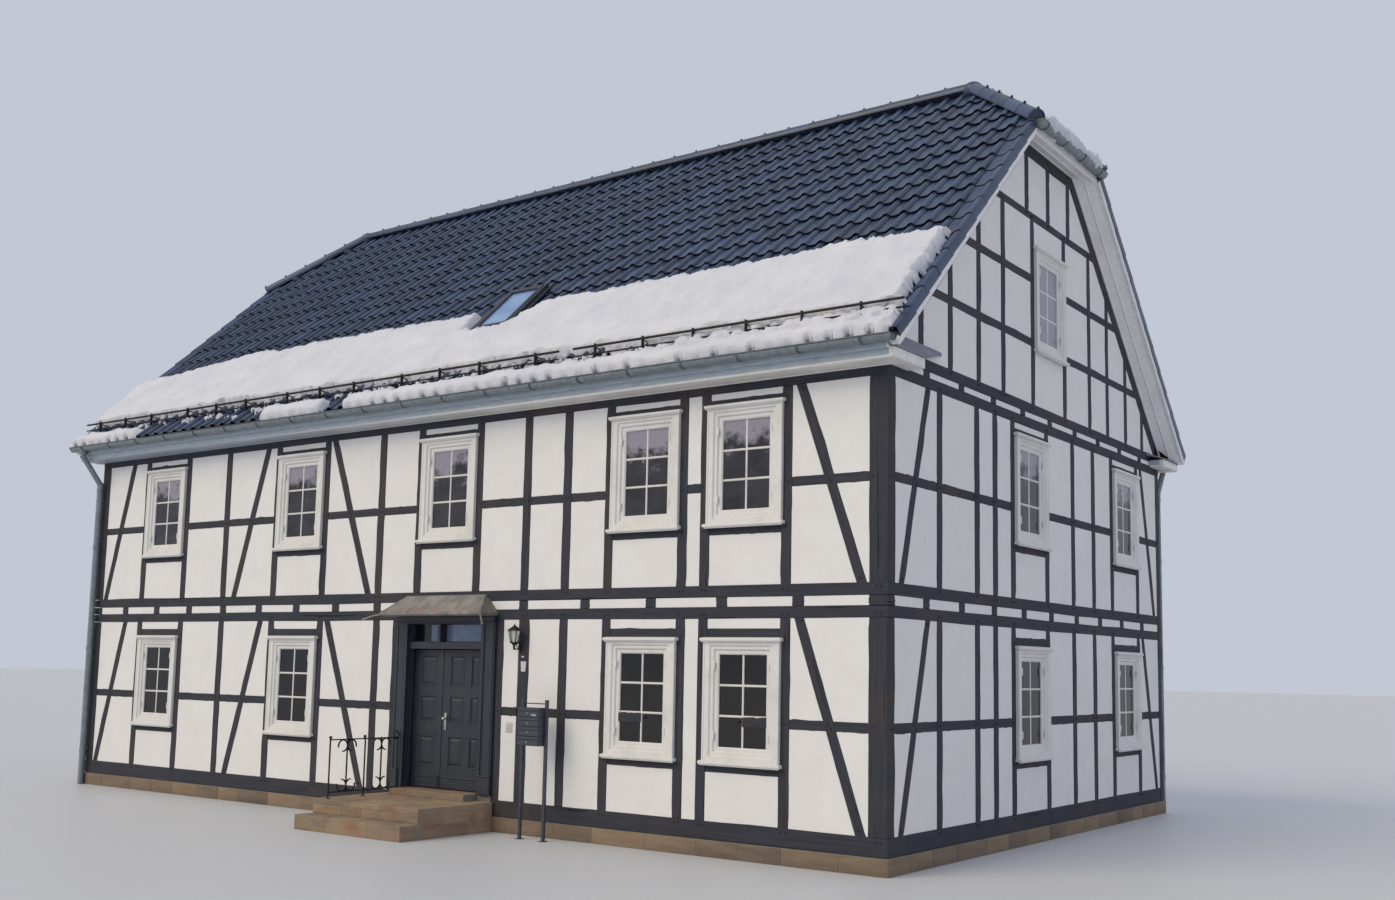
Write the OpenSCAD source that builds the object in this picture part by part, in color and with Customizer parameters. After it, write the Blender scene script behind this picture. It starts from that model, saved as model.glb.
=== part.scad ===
// Two-storey half-timbered house with a half-hipped tiled roof.
// The middle of the footprint at ground level is the origin. The entrance front faces -Y,
// +X points to its right-hand gable and +Z points up. All sizes are in millimetres.

/* [House] */
// Length of the front between the outer faces of the gables
house_len = 16000; // [15600:100:18000]
// Depth of the house between the outer faces of the long walls
house_dep = 9700; // [9600:50:10600]
// Thickness of the timber-framed walls
wall_t = 180; // [150:10:220]
// How far the plaster lies behind the face of the timbers
panel_back = 8; // [3:1:15]

/* [Storeys] */
// Height of the stone plinth above the ground
plinth_h = 200; // [150:10:320]
// How far the plinth stands out from the timbers
plinth_out = 20; // [10:5:40]
// Height of the sill beam on the plinth
sill_h = 220; // [180:10:240]
// Height of the upper storey between its sill beam and its wall plate
upper_clear = 2375; // [2300:10:2500]
// Height of a wall plate
plate_h = 140; // [120:5:180]
// Height of the row of joist ends over the ground storey
joist_row_h = 115; // [90:5:140]
// Height of the sill beam of the upper storey
upper_sill_h = 145; // [120:5:180]
// Height of the row of joist ends under the gable triangle
attic_row_h = 70; // [50:5:100]
// Height of the sill beam of the gable triangle
attic_sill_h = 140; // [120:5:180]
// Depth of the floor on the ground
ground_floor_h = 120; // [80:5:160]
// How far the ground floor lies above the top of the sill beam
ground_floor_up = 55; // [20:5:90]
// Depth of the upper floors
upper_floor_h = 200; // [160:10:240]

/* [Timbers] */
// Width of a common post
post_w = 145; // [110:5:180]
// Width of a corner post seen from the front
corner_w = 240; // [200:5:280]
// Width of a slanting brace
brace_w = 130; // [100:5:160]
// Height of a middle rail
rail_h = 115; // [90:5:140]
// Height of the rail under a window
window_rail_h = 125; // [100:5:140]
// Height of the lintel over a window of the ground storey
ground_lintel_h = 135; // [90:5:160]
// Height of the lintel over a window of the upper storey
upper_lintel_h = 90; // [70:5:120]
// Height of the middle rail of the ground storey above its sill beam
ground_rail_up = 1135; // [1050:5:1220]
// Height of the middle rail of the upper storey above its sill beam
upper_rail_up = 1155; // [1050:5:1220]
// Width of the joist ends
joist_w = 160; // [120:5:200]
// Width of a post in the gable triangle
attic_post_w = 130; // [100:5:150]
// Width of the rafters that edge the gable triangle
rafter_w = 190; // [150:5:230]
// Height from one rail of the gable triangle to the next
attic_rail_step = 910; // [860:10:940]

/* [Windows] */
// Width of a window casing
casing_w = 1100; // [1060:10:1160]
// Height of a window casing with its head and sill
casing_h = 1520; // [1440:10:1560]
// Width of the wall opening between two window posts
opening_w = 1045; // [1000:5:1060]
// Height of the casings of the ground storey above its sill beam
ground_window_up = 680; // [600:10:740]
// Height of the casings of the upper storey above its sill beam
upper_window_up = 715; // [640:10:760]
// Width of the casing boards on the wall
casing_board = 105; // [80:5:130]
// Thickness of the casing boards
casing_t = 45; // [30:5:60]
// Width of the window frame inside the casing
frame_board = 48; // [35:1:60]
// Width of the wood round a casement
sash_board = 55; // [45:1:70]
// Depth of the window frame in the wall
frame_t = 110; // [80:5:140]
// Thickness of a casement
sash_t = 46; // [36:2:60]
// Thickness of the glass
glass_t = 14; // [6:1:24]
// Height of the head board and of the sill board of a window
drip_h = 45; // [30:5:60]
// How far head and sill stand out from the wall
drip_out = 85; // [60:5:120]

/* [Roof] */
// Slope of the long roof faces
roof_pitch = 43.5; // [41:0.5:45]
// Slope of the half-hips
hip_pitch = 39; // [34:1:44]
// Height of the rafters' underside over the outer face of the long walls
eave_rise = 240; // [200:5:300]
// Width of the flat top of the gable triangle
gable_top_w = 1900; // [1700:50:2500]
// Thickness of the roof from the rafters' underside to the tiles, square to the slope
roof_t = 340; // [300:5:380]
// Thickness of the battens and tiles, square to the slope
tile_layer = 105; // [80:5:130]
// Width that each column of pantiles covers
tile_w = 265; // [230:5:340]
// Height of the round roll along the side of a pantile
roll_h = 45; // [30:1:55]
// Width of the roll at its foot
roll_w = 120; // [90:5:140]
// How far the tiles reach out over the long walls
eave_out = 455; // [420:5:500]
// How far the tiles reach out over the gables
verge_out = 340; // [280:10:420]
// Radius of the ridge and hip tiles
ridge_r = 120; // [100:5:140]
// How far the middle of a ridge tile lies under the edge where the roof faces meet
ridge_sink = 60; // [40:5:80]
// How far the verge boards stay behind the tile edge
verge_back = 45; // [30:5:70]
// Thickness of the roof at the outer edge of the verge boards, square to the slope
verge_edge_t = 200; // [170:5:240]
// Depth of the white cornice under the eaves
cornice_out = 310; // [260:10:360]
// Height of the white board of the cornice
cornice_h = 115; // [90:5:150]
// How far the grey eaves board stands out past the white one
fascia_out = 60; // [40:5:90]
// Length of the cornice return along each gable
return_len = 460; // [350:10:600]
// Length of the cover of a cornice return along the wall
cover_tip = 1350; // [900:50:1500]
// How far the cornice return stands out from the gable
return_out = 230; // [180:10:270]
// Radius of the gutters
gutter_r = 75; // [60:5:90]
// Wall thickness of the gutters and pipes
gutter_t = 4; // [3:1:8]
// Radius of the downpipes
pipe_r = 50; // [40:5:60]

/* [Entrance] */
// Width of the doorway between its posts
doorway_w = 1940; // [1880:10:2000]
// Width of the door frame beside the leaves
jamb_w = 235; // [205:5:260]
// Width of the wide leaf
wide_leaf_w = 845; // [780:5:860]
// Height of a door leaf
leaf_h = 1945; // [1880:5:1960]
// Thickness of a door leaf
leaf_t = 50; // [44:1:60]
// How far the leaves lie behind the face of the wall
leaf_back = 120; // [95:5:125]
// Gap round the door leaves
leaf_gap = 12; // [11:1:14]
// Height of the transom light over the door
transom_h = 260; // [200:10:280]
// Height of the bar under the transom light
transom_bar = 95; // [70:5:110]
// Height of the door frame over the transom light
door_head_h = 51; // [40:1:70]
// Width of the panelled casing beside the door
door_casing_w = 250; // [200:5:260]
// How far the door casing stands out from the wall
door_casing_out = 38; // [25:1:50]
// Width of the canopy at its lower edge
canopy_w = 2000; // [1960:20:2300]
// Depth of the canopy
canopy_out = 350; // [300:10:450]
// Height of the canopy
canopy_h = 290; // [240:10:340]
// Depth of the landing before the door
landing_out = 1350; // [1200:50:1500]
// Depth of a step
step_run = 300; // [260:10:340]
// Height of the stair railing
railing_h = 800; // [740:10:900]

/* [Fittings] */
// Width of the roof window
roof_window_w = 780; // [660:20:940]
// Length of the roof window up the slope
roof_window_l = 1220; // [1000:20:1400]
// Height of the snow guard above the tiles
guard_h = 190; // [140:10:240]
// Width of the letter box
letter_w = 370; // [320:10:560]
// Height of the letter box
letter_h = 490; // [400:10:540]
// Depth of the letter box
letter_d = 150; // [120:10:230]
// Height of the lantern body
lantern_h = 230; // [180:5:280]

/* [Hidden] */
$fn = 48;

// Levels, from the ground up.
floor_one_z = plinth_h + sill_h + ground_floor_up;
ground_z0 = plinth_h + sill_h;
leaf_z0 = floor_one_z + leaf_gap;
leaf_z1 = leaf_z0 + leaf_h;
transom_z0 = leaf_z1 + leaf_gap + transom_bar;
transom_z1 = transom_z0 + transom_h;
ground_z1 = transom_z1 + door_head_h;
joist_z = ground_z1 + plate_h;
upper_sill_z = joist_z + joist_row_h;
upper_z0 = upper_sill_z + upper_sill_h;
upper_z1 = upper_z0 + upper_clear;
plate_top = upper_z1 + plate_h;
attic_sill_z = plate_top + attic_row_h;
attic_z0 = attic_sill_z + attic_sill_h;
half_len = house_len / 2;
half_dep = house_dep / 2;

// Roof planes. The inner skin is the rafters' underside and the outer skin is the tiles.
slope = tan(roof_pitch);
hip_slope = tan(hip_pitch);
under_z = plate_top + eave_rise;
gable_top_z = under_z + slope * (half_dep - gable_top_w / 2);
low_z = plinth_h;

// Height of the front roof plane at a distance behind the face of the long wall,
// for a skin that lies a given thickness under the tiles.
function roof_z(behind, depth) = under_z + slope * behind + (roof_t - depth) / cos(roof_pitch);
// The same for a half-hip, measured inwards from the face of the gable.
function hip_z(inside, depth) = gable_top_z + hip_slope * inside + (roof_t - depth) / cos(hip_pitch);
// The roof lies on the walls and the cornice with a hair's breadth to spare.
seat = 0.3;
function ridge_z(depth) = roof_z(half_dep, depth);
// Distance of the end of the ridge from the middle of the house.
function ridge_end(depth) = half_len - (ridge_z(depth) - hip_z(0, depth)) / hip_slope;

// Places along the front, from its right-hand corner, and along a gable from its front corner.
// They are given for a front of 16 m and a gable of 9.7 m, and spread with longer walls.
bay_plan = [16000, 9700];
function along(from_right) = half_len - from_right * house_len / bay_plan[0];
function behind(from_front) = from_front * house_dep / bay_plan[1] - half_dep;

// Middle of each window bay, from the right-hand corner of the front.
front_windows = [1950, 3485, 7055, 10355, 13970];
// Middle of the other posts of the front.
front_posts = [4810, 5540, 8480, 12250];
// Braces of the front: foot and head, from the right-hand corner.
front_braces = [[335, 1165], [8700, 9600], [11960, 11230], [15680, 15010]];
// Windows, posts and braces of a gable, from its front corner.
gable_windows = [4120, 7950];
gable_posts = [1320, 2390, 2950, 5710, 6550];
gable_braces = [[340, 1010], [9360, 8760]];
// Distance of the middle of a window post from the middle of its bay.
window_post = (opening_w + post_w) / 2;

// The entrance, from the right-hand corner: the middle of its doorway.
door_at = 7000;
door_x = along(door_at);
door_lean = 15;
jamb_x = door_x - door_lean;
door_clear_w = doorway_w - 2 * jamb_w;
narrow_leaf_w = door_clear_w - wide_leaf_w - 3 * leaf_gap;

// Middle of each joist end along the front and along a gable.
right_joists = [1180, 1090, 5];
left_joists = [8480, 935, 8];
entrance_joists = [6520, 7500];
function joist_row(row) = [for (i = [0:row[2] - 1]) row[0] + row[1] * i];
joist_at = concat(joist_row(right_joists), entrance_joists, joist_row(left_joists));
gable_bays = 10;
gable_joist_at = [for (i = [1:gable_bays - 1]) i * bay_plan[1] / gable_bays];

// Gable triangle: half distances of the posts from the middle, per row from the bottom.
attic_half = [window_post, 1610, 2390, 3230, 4030];
attic_rail_z = [for (i = [0:2]) attic_z0 + 820 + i * attic_rail_step];
attic_window_z = attic_rail_z[0] - 60;
attic_top_half = [0, 780];

timber_col = [0.17, 0.17, 0.19];
plaster_col = [0.93, 0.92, 0.90];
white_col = [0.95, 0.95, 0.93];
zinc_col = [0.55, 0.58, 0.60];
tile_col = [0.13, 0.16, 0.22];
door_col = [0.20, 0.23, 0.27];
stone_col = [0.70, 0.62, 0.50];
iron_col = [0.08, 0.08, 0.08];
glass_col = [0.55, 0.65, 0.75];
wood_col = [0.72, 0.60, 0.42];

// Frames of reference: outside face of each wall at y = 0, looking in along +y.
module at_front() { translate([0, -half_dep, 0]) children(); }
module at_back() { rotate([0, 0, 180]) translate([0, -half_dep, 0]) children(); }
module at_right() { rotate([0, 0, 90]) translate([0, -half_len, 0]) children(); }
module at_left() { rotate([0, 0, -90]) translate([0, -half_len, 0]) children(); }

// A flat outline in x and z, given a thickness that starts y0 behind the wall face.
module sheet(y0, t) {
    translate([0, y0 + t, 0]) rotate([90, 0, 0]) linear_extrude(t) children();
}

module field(x0, x1, z0, z1) {
    translate([min(x0, x1), z0]) square([abs(x1 - x0), z1 - z0]);
}

module post(x, z0, z1, w = post_w) { field(x - w / 2, x + w / 2, z0, z1); }

// A slanting timber from its foot at x0 to its head at x1.
module brace(x0, x1, z0, z1) {
    lean = atan2(x1 - x0, z1 - z0);
    half = brace_w / 2 / cos(lean);
    polygon([[x0 - half, z0], [x0 + half, z0], [x1 + half, z1], [x1 - half, z1]]);
}

// The casings lap over the timbers round each window opening.
casing_lap = (casing_w - opening_w) / 2;

module openings(at, z0) {
    for (x = at) {
        field(x - opening_w / 2, x + opening_w / 2, z0 + casing_lap, z0 + casing_h - casing_lap);
    }
}

// The timbers of one storey between its sill beam and its plate.
module storey(rails, posts, windows, braces, z0, z1, rail_up, window_up, lintel_h) {
    foot = z0 + window_up + casing_lap;
    head = z0 + window_up + casing_h - casing_lap;
    difference() {
        union() {
            for (x = posts) post(x, z0, z1);
            for (x = windows, s = [-1, 1]) post(x + s * window_post, z0, z1);
            for (r = rails) field(r[0], r[1], z0 + rail_up, z0 + rail_up + rail_h);
            for (b = braces) brace(b[0], b[1], z0, z1);
        }
        for (x = windows) field(x - opening_w / 2, x + opening_w / 2, z0, z1);
    }
    for (x = windows) {
        field(x - window_post, x + window_post, foot - window_rail_h, foot);
        field(x - window_post, x + window_post, head, min(head + lintel_h, z1));
    }
}

function front_x(list) = [for (u = list) along(u)];
function gable_x(list) = [for (v = list) behind(v)];
door_posts = [door_x - doorway_w / 2 - post_w / 2, door_x + doorway_w / 2 + post_w / 2];
ground_windows = [front_windows[0], front_windows[1], front_windows[3], front_windows[4]];

// The ground storey has no rail in the narrow panel between its two right-hand windows.
ground_rails = [[-half_len, along(front_windows[1])], [along(front_windows[0]), half_len]];

module corner_posts(half, z0, z1) {
    for (s = [-1, 1]) field(s * half, s * (half - corner_w), z0, z1);
}

module front_ground_timbers(windows, posts) {
    corner_posts(half_len, ground_z0, ground_z1);
    storey(ground_rails, concat(front_x(front_posts), posts), windows,
        [for (b = front_braces) [along(b[0]), along(b[1])]],
        ground_z0, ground_z1, ground_rail_up, ground_window_up, ground_lintel_h);
    field(-half_len, half_len, plinth_h, ground_z0);
}

// Wall plate, joist ends, upper sill beam, upper storey and top plate.
module front_upper_timbers() {
    field(-half_len, half_len, ground_z1, joist_z);
    for (u = joist_at) post(along(u), joist_z, upper_sill_z, joist_w);
    corner_posts(half_len, joist_z, upper_sill_z);
    field(-half_len, half_len, upper_sill_z, upper_z0);
    corner_posts(half_len, upper_z0, upper_z1);
    storey([[-half_len, half_len]], front_x(front_posts), front_x(front_windows),
        [for (b = front_braces) [along(b[0]), along(b[1])]],
        upper_z0, upper_z1, upper_rail_up, upper_window_up, upper_lintel_h);
    field(-half_len, half_len, upper_z1, plate_top);
}

gable_half = half_dep - wall_t;

module gable_timbers() {
    braces = [for (b = gable_braces) [behind(b[0]), behind(b[1])]];
    intersection() {
        union() {
            field(-gable_half, gable_half, plinth_h, ground_z0);
            storey([[-gable_half, gable_half]], gable_x(gable_posts), gable_x(gable_windows), braces,
                ground_z0, ground_z1, ground_rail_up, ground_window_up, ground_lintel_h);
            field(-gable_half, gable_half, ground_z1, joist_z);
            for (v = gable_joist_at) post(behind(v), joist_z, upper_sill_z, joist_w);
            field(-gable_half, gable_half, upper_sill_z, upper_z0);
            storey([[-gable_half, gable_half]], gable_x(gable_posts), gable_x(gable_windows), braces,
                upper_z0, upper_z1, upper_rail_up, upper_window_up, upper_lintel_h);
            field(-gable_half, gable_half, upper_z1, plate_top);
        }
        field(-gable_half, gable_half, plinth_h, plate_top);
    }
}

// The outline of the gable triangle under the roof, drawn in by an edge.
module attic_outline(edge) {
    drop = edge / cos(roof_pitch);
    top = gable_top_z - edge;
    polygon([
        [-gable_half, plate_top], [gable_half, plate_top],
        [gable_half, roof_z(wall_t, roof_t) - drop],
        [half_dep - (top - under_z + drop) / slope, top],
        [-half_dep + (top - under_z + drop) / slope, top],
        [-gable_half, roof_z(wall_t, roof_t) - drop]
    ]);
}

module attic_openings() { openings([0], attic_window_z); }

module attic_timbers() {
    difference() {
        attic_outline(0);
        difference() {
            attic_outline(rafter_w);
            field(-half_dep, half_dep, plate_top, attic_z0);
        }
        difference() {
            field(-half_dep, half_dep, plate_top, attic_sill_z);
            for (v = gable_joist_at) post(behind(v), plate_top, attic_sill_z, joist_w);
        }
    }
    intersection() {
        attic_outline(0);
        difference() {
            union() {
                for (h = attic_half, s = [-1, 1]) post(s * h, attic_z0, attic_rail_z[2], attic_post_w);
                for (h = attic_top_half, s = [-1, 1]) {
                    post(s * h, attic_rail_z[2], gable_top_z, attic_post_w);
                }
                for (z = attic_rail_z) field(-half_dep, half_dep, z, z + rail_h);
            }
            attic_openings();
        }
    }
}

// Nodes: plinth and floors.
module stone_plinth() {
    color(stone_col) linear_extrude(plinth_h) difference() {
        square([house_len + 2 * plinth_out, house_dep + 2 * plinth_out], center = true);
        square([house_len - 2 * wall_t, house_dep - 2 * wall_t], center = true);
    }
}

module floor_slab(top, h) {
    translate([wall_t - half_len, -gable_half, top - h])
        cube([house_len - 2 * wall_t, 2 * gable_half, h]);
}

module ground_floor() { color(wood_col) floor_slab(floor_one_z, ground_floor_h); }
module upper_floor() { color(wood_col) floor_slab(upper_z0, upper_floor_h); }
module attic_floor() { color(wood_col) floor_slab(plate_top + upper_floor_h, upper_floor_h); }

// Nodes: timber frames.
module front_left_frame() {
    color(timber_col) at_front() sheet(0, wall_t) intersection() {
        front_ground_timbers(front_x(ground_windows), door_posts);
        field(-half_len, door_x - doorway_w / 2, plinth_h, ground_z1);
    }
}

module front_right_frame() {
    color(timber_col) at_front() sheet(0, wall_t) intersection() {
        front_ground_timbers(front_x(ground_windows), door_posts);
        field(door_x + doorway_w / 2, half_len, plinth_h, ground_z1);
    }
}

// Beam that carries the rafters' feet: its top follows their underside.
module eave_beam() {
    translate([-half_len, 0, 0]) rotate([90, 0, 90]) linear_extrude(house_len) polygon([
        [0, plate_top], [wall_t, plate_top],
        [wall_t, roof_z(wall_t, roof_t) - seat], [0, roof_z(0, roof_t) - seat]
    ]);
}

module front_upper_frame() {
    color(timber_col) at_front() {
        sheet(0, wall_t) front_upper_timbers();
        eave_beam();
    }
}

module back_frame() {
    color(timber_col) at_back() {
        sheet(0, wall_t) {
            front_ground_timbers(front_x(front_windows), []);
            front_upper_timbers();
        }
        eave_beam();
    }
}

module gable_frame() { sheet(0, wall_t) { gable_timbers(); attic_timbers(); } }
module right_gable_frame() { color(timber_col) at_right() gable_frame(); }
module left_gable_frame() { color(timber_col) at_left() gable_frame(); }

// Nodes: plastered panels between the timbers, each panel a solid of its own.
module infill() { sheet(panel_back, wall_t - 2 * panel_back) children(); }

module front_ground_panels() {
    difference() {
        field(-half_len, half_len, ground_z0, ground_z1);
        front_ground_timbers(front_x(ground_windows), door_posts);
        openings(front_x(ground_windows), ground_z0 + ground_window_up);
        field(door_x - doorway_w / 2, door_x + doorway_w / 2, plinth_h, ground_z1);
    }
}

module front_left_infill() {
    color(plaster_col) at_front() infill() intersection() {
        front_ground_panels();
        field(-half_len, door_x, plinth_h, ground_z1);
    }
}

module front_right_infill() {
    color(plaster_col) at_front() infill() intersection() {
        front_ground_panels();
        field(door_x, half_len, plinth_h, ground_z1);
    }
}

module front_upper_panels() {
    difference() {
        field(-half_len, half_len, joist_z, plate_top);
        front_upper_timbers();
        openings(front_x(front_windows), upper_z0 + upper_window_up);
    }
}

module front_upper_infill() { color(plaster_col) at_front() infill() front_upper_panels(); }

module back_infill() {
    color(plaster_col) at_back() infill() {
        front_upper_panels();
        difference() {
            field(-half_len, half_len, ground_z0, ground_z1);
            front_ground_timbers(front_x(front_windows), []);
            openings(front_x(front_windows), ground_z0 + ground_window_up);
        }
    }
}

module gable_panels() {
    difference() {
        field(-gable_half, gable_half, plinth_h, plate_top);
        gable_timbers();
        openings(gable_x(gable_windows), ground_z0 + ground_window_up);
        openings(gable_x(gable_windows), upper_z0 + upper_window_up);
    }
    difference() {
        attic_outline(0);
        attic_timbers();
        attic_openings();
    }
}

module right_gable_infill() { color(plaster_col) at_right() infill() gable_panels(); }
module left_gable_infill() { color(plaster_col) at_left() infill() gable_panels(); }

// Nodes: windows. One window stands with the foot of its casing at z0.
module ring(w, h, board) {
    difference() {
        translate([-w / 2, 0]) square([w, h]);
        translate([board - w / 2, board]) square([w - 2 * board, h - 2 * board]);
    }
}

glass_w = casing_w - 2 * casing_board - 2 * frame_board - 2 * sash_board;
glass_h = casing_h - 2 * casing_board - 2 * frame_board - 2 * sash_board;
sash_back = 12;
drip_side = 30;

module one_window(x, z0) {
    translate([x, 0, z0]) {
        sheet(-casing_t, casing_t) ring(casing_w, casing_h, casing_board);
        sheet(-casing_t / 2, casing_t / 2 + frame_t) translate([0, casing_lap])
            ring(opening_w, casing_h - 2 * casing_lap, casing_board - casing_lap + frame_board);
        sheet(sash_back, sash_t) translate([0, casing_board + frame_board])
            ring(glass_w + 2 * sash_board, glass_h + 2 * sash_board, sash_board);
        for (z = [0, casing_h - drip_h]) {
            translate([-casing_w / 2 - drip_side, -drip_out, z])
                cube([casing_w + 2 * drip_side, drip_out - casing_t, drip_h]);
        }
        for (z = [0, casing_h - drip_h], s = [-1, 1]) {
            translate([s > 0 ? casing_w / 2 : -casing_w / 2 - drip_side, -casing_t, z])
                cube([drip_side, casing_t, drip_h]);
        }
    }
}

module one_glass(x, z0) {
    z = z0 + casing_board + frame_board + sash_board;
    translate([x - glass_w / 2, sash_back + (sash_t - glass_t) / 2, z]) cube([glass_w, glass_t, glass_h]);
}

front_window_at = concat(
    [for (x = front_x(ground_windows)) [x, ground_z0 + ground_window_up]],
    [for (x = front_x(front_windows)) [x, upper_z0 + upper_window_up]]);
back_window_at = concat(
    [for (x = front_x(front_windows)) [x, ground_z0 + ground_window_up]],
    [for (x = front_x(front_windows)) [x, upper_z0 + upper_window_up]]);
gable_window_at = concat(
    [for (x = gable_x(gable_windows)) [x, ground_z0 + ground_window_up]],
    [for (x = gable_x(gable_windows)) [x, upper_z0 + upper_window_up]],
    [[0, attic_window_z]]);

module window_row(at) { for (w = at) one_window(w[0], w[1]); }
module glass_row(at) { for (w = at) one_glass(w[0], w[1]); }

module front_window_frames() { color(white_col) at_front() window_row(front_window_at); }
module back_window_frames() { color(white_col) at_back() window_row(back_window_at); }
module right_window_frames() { color(white_col) at_right() window_row(gable_window_at); }
module left_window_frames() { color(white_col) at_left() window_row(gable_window_at); }
module front_window_glass() { color(glass_col) at_front() glass_row(front_window_at); }
module back_window_glass() { color(glass_col) at_back() glass_row(back_window_at); }
module right_window_glass() { color(glass_col) at_right() glass_row(gable_window_at); }
module left_window_glass() { color(glass_col) at_left() glass_row(gable_window_at); }

// Nodes: entrance.
jamb_l = jamb_x - door_clear_w / 2;
jamb_r = jamb_x + door_clear_w / 2;
meeting_x = jamb_l + leaf_gap + narrow_leaf_w + leaf_gap / 2;
leaf_inside = leaf_back + leaf_t;
mullion_w = 45;

// Butt hinges on the inside face: the pin's axis lies in the gap beside the leaf.
knuckle_r = 7;
knuckle_h = 42;
knuckle_gap = 0.3;
hinge_leaf_w = 38;
hinge_leaf_t = 5;
hinge_y = leaf_inside + 10;
hinge_x = [jamb_l + leaf_gap / 2, jamb_r - leaf_gap / 2];
hinge_z = [leaf_z0 + 200, leaf_z0 + leaf_h / 2, leaf_z1 - 200];

// One knuckle with its share of the plate, on the side away from s.
module knuckle(x, z, s) {
    translate([x, hinge_y, z]) cylinder(r = knuckle_r, h = knuckle_h, $fn = 24);
    translate([s > 0 ? x : x - knuckle_r - 1, leaf_inside, z])
        cube([knuckle_r + 1, hinge_leaf_t, knuckle_h]);
}

module hinge_plate(x, z, s) {
    y0 = leaf_inside;
    x0 = s > 0 ? x + knuckle_r + 0.5 : x - knuckle_r - 0.5 - hinge_leaf_w;
    translate([x0, y0, z]) cube([hinge_leaf_w, hinge_leaf_t, 3 * knuckle_h + 2 * knuckle_gap]);
}

module frame_hinges() {
    for (i = [0, 1], z = hinge_z) {
        s = i == 0 ? -1 : 1;
        hinge_plate(hinge_x[i], z, s);
        for (k = [0, 2]) knuckle(hinge_x[i], z + k * (knuckle_h + knuckle_gap), s);
    }
}

module leaf_hinges(i) {
    s = i == 0 ? 1 : -1;
    for (z = hinge_z) {
        hinge_plate(hinge_x[i], z, s);
        knuckle(hinge_x[i], z + knuckle_h + knuckle_gap, s);
    }
}

module door_frame() {
    casing_l = door_x - doorway_w / 2 - 20;
    casing_r = door_x + doorway_w / 2 + 20;
    color(door_col) at_front() {
        frame_hinges();
        sheet(-door_casing_out, door_casing_out) difference() {
            field(casing_l, casing_r, floor_one_z, ground_z1);
            field(casing_l + door_casing_w, casing_r - door_casing_w, floor_one_z, transom_z1);
        }
        sheet(0, leaf_inside) difference() {
            field(door_x - doorway_w / 2, door_x + doorway_w / 2, floor_one_z, ground_z1);
            field(jamb_l, jamb_r, floor_one_z, leaf_z1 + leaf_gap);
            field(jamb_l, meeting_x - mullion_w / 2, transom_z0, transom_z1);
            field(meeting_x + mullion_w / 2, jamb_r, transom_z0, transom_z1);
        }
    }
}

module transom_glass() {
    color(glass_col) at_front() for (x = [[jamb_l, meeting_x - mullion_w / 2], [meeting_x + mullion_w / 2, jamb_r]]) {
        translate([x[0], leaf_back, transom_z0]) cube([x[1] - x[0], glass_t, transom_h]);
    }
}

// A leaf between two edges, with raised panels in three rows.
row_rails = [300, 190, 140, 85];
row_share = [0.35, 0.30, 0.35];
row_free = leaf_h - row_rails[0] - row_rails[1] - row_rails[2] - row_rails[3];
row_1 = row_rails[0];
row_2 = row_1 + row_share[0] * row_free + row_rails[1];
row_3 = row_2 + row_share[1] * row_free + row_rails[2];
panel_rows = [[row_1, row_share[0] * row_free], [row_2, row_share[1] * row_free],
    [row_3, row_share[2] * row_free]];
panel_groove = 14;
panel_bevel = 38;

module door_leaf(x0, x1, columns) {
    color(door_col) at_front() {
        difference() {
            translate([x0, leaf_back, leaf_z0]) cube([x1 - x0, leaf_t, leaf_h]);
            for (c = columns, r = panel_rows) {
                translate([x0 + c[0], leaf_back - 1, leaf_z0 + r[0]]) cube([c[1], panel_groove + 1, r[1]]);
            }
        }
        for (c = columns, r = panel_rows) {
            translate([x0 + c[0] + panel_bevel, leaf_back + 2, leaf_z0 + r[0] + panel_bevel])
                cube([c[1] - 2 * panel_bevel, panel_groove - 2, r[1] - 2 * panel_bevel]);
        }
    }
}

narrow_x0 = jamb_l + leaf_gap;
narrow_x1 = narrow_x0 + narrow_leaf_w;
wide_x0 = narrow_x1 + leaf_gap;
wide_x1 = wide_x0 + wide_leaf_w;
stile_w = 130;

module narrow_door_leaf() {
    door_leaf(narrow_x0, narrow_x1, [[stile_w, narrow_leaf_w - 2 * stile_w]]);
    color(door_col) at_front() leaf_hinges(0);
}

module wide_door_leaf() {
    inner = wide_leaf_w - 3 * stile_w;
    door_leaf(wide_x0, wide_x1, [[stile_w, inner * 0.62], [2 * stile_w + inner * 0.62, inner * 0.38]]);
    color(door_col) at_front() leaf_hinges(1);
}

handle_up = 950;
handle_z = floor_one_z + handle_up;
handle_plate = [46, 8, 240];

module door_handles() {
    color("silver") at_front() translate([wide_x0 + stile_w / 2, 0, handle_z]) {
        for (s = [0, 1]) {
            y = s == 0 ? leaf_back - handle_plate[1] : leaf_inside;
            translate([-handle_plate[0] / 2, y, -handle_plate[2] / 2]) cube(handle_plate);
            y2 = s == 0 ? leaf_back - 50 : leaf_inside + handle_plate[1];
            translate([0, y2, 40]) rotate([-90, 0, 0]) cylinder(r = 9, h = 50 - handle_plate[1]);
        }
        translate([0, leaf_back - 50, 40]) sphere(r = 26);
    }
}

canopy_z = ground_z1 + 50;
canopy_lip = 40;

module door_canopy() {
    x0 = door_x - canopy_w / 2;
    inset = 215;
    color([0.55, 0.53, 0.50]) at_front() {
        hull() {
            translate([x0, -canopy_out, canopy_z]) cube([canopy_w, canopy_out, canopy_lip]);
            translate([x0 + inset, -canopy_lip, canopy_z + canopy_h - canopy_lip])
                cube([canopy_w - 2 * inset, canopy_lip, canopy_lip]);
        }
    }
}

threshold_h = 90;
threshold_out = 260;
landing_z = floor_one_z - threshold_h;
step_up = landing_z / 2;

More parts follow.
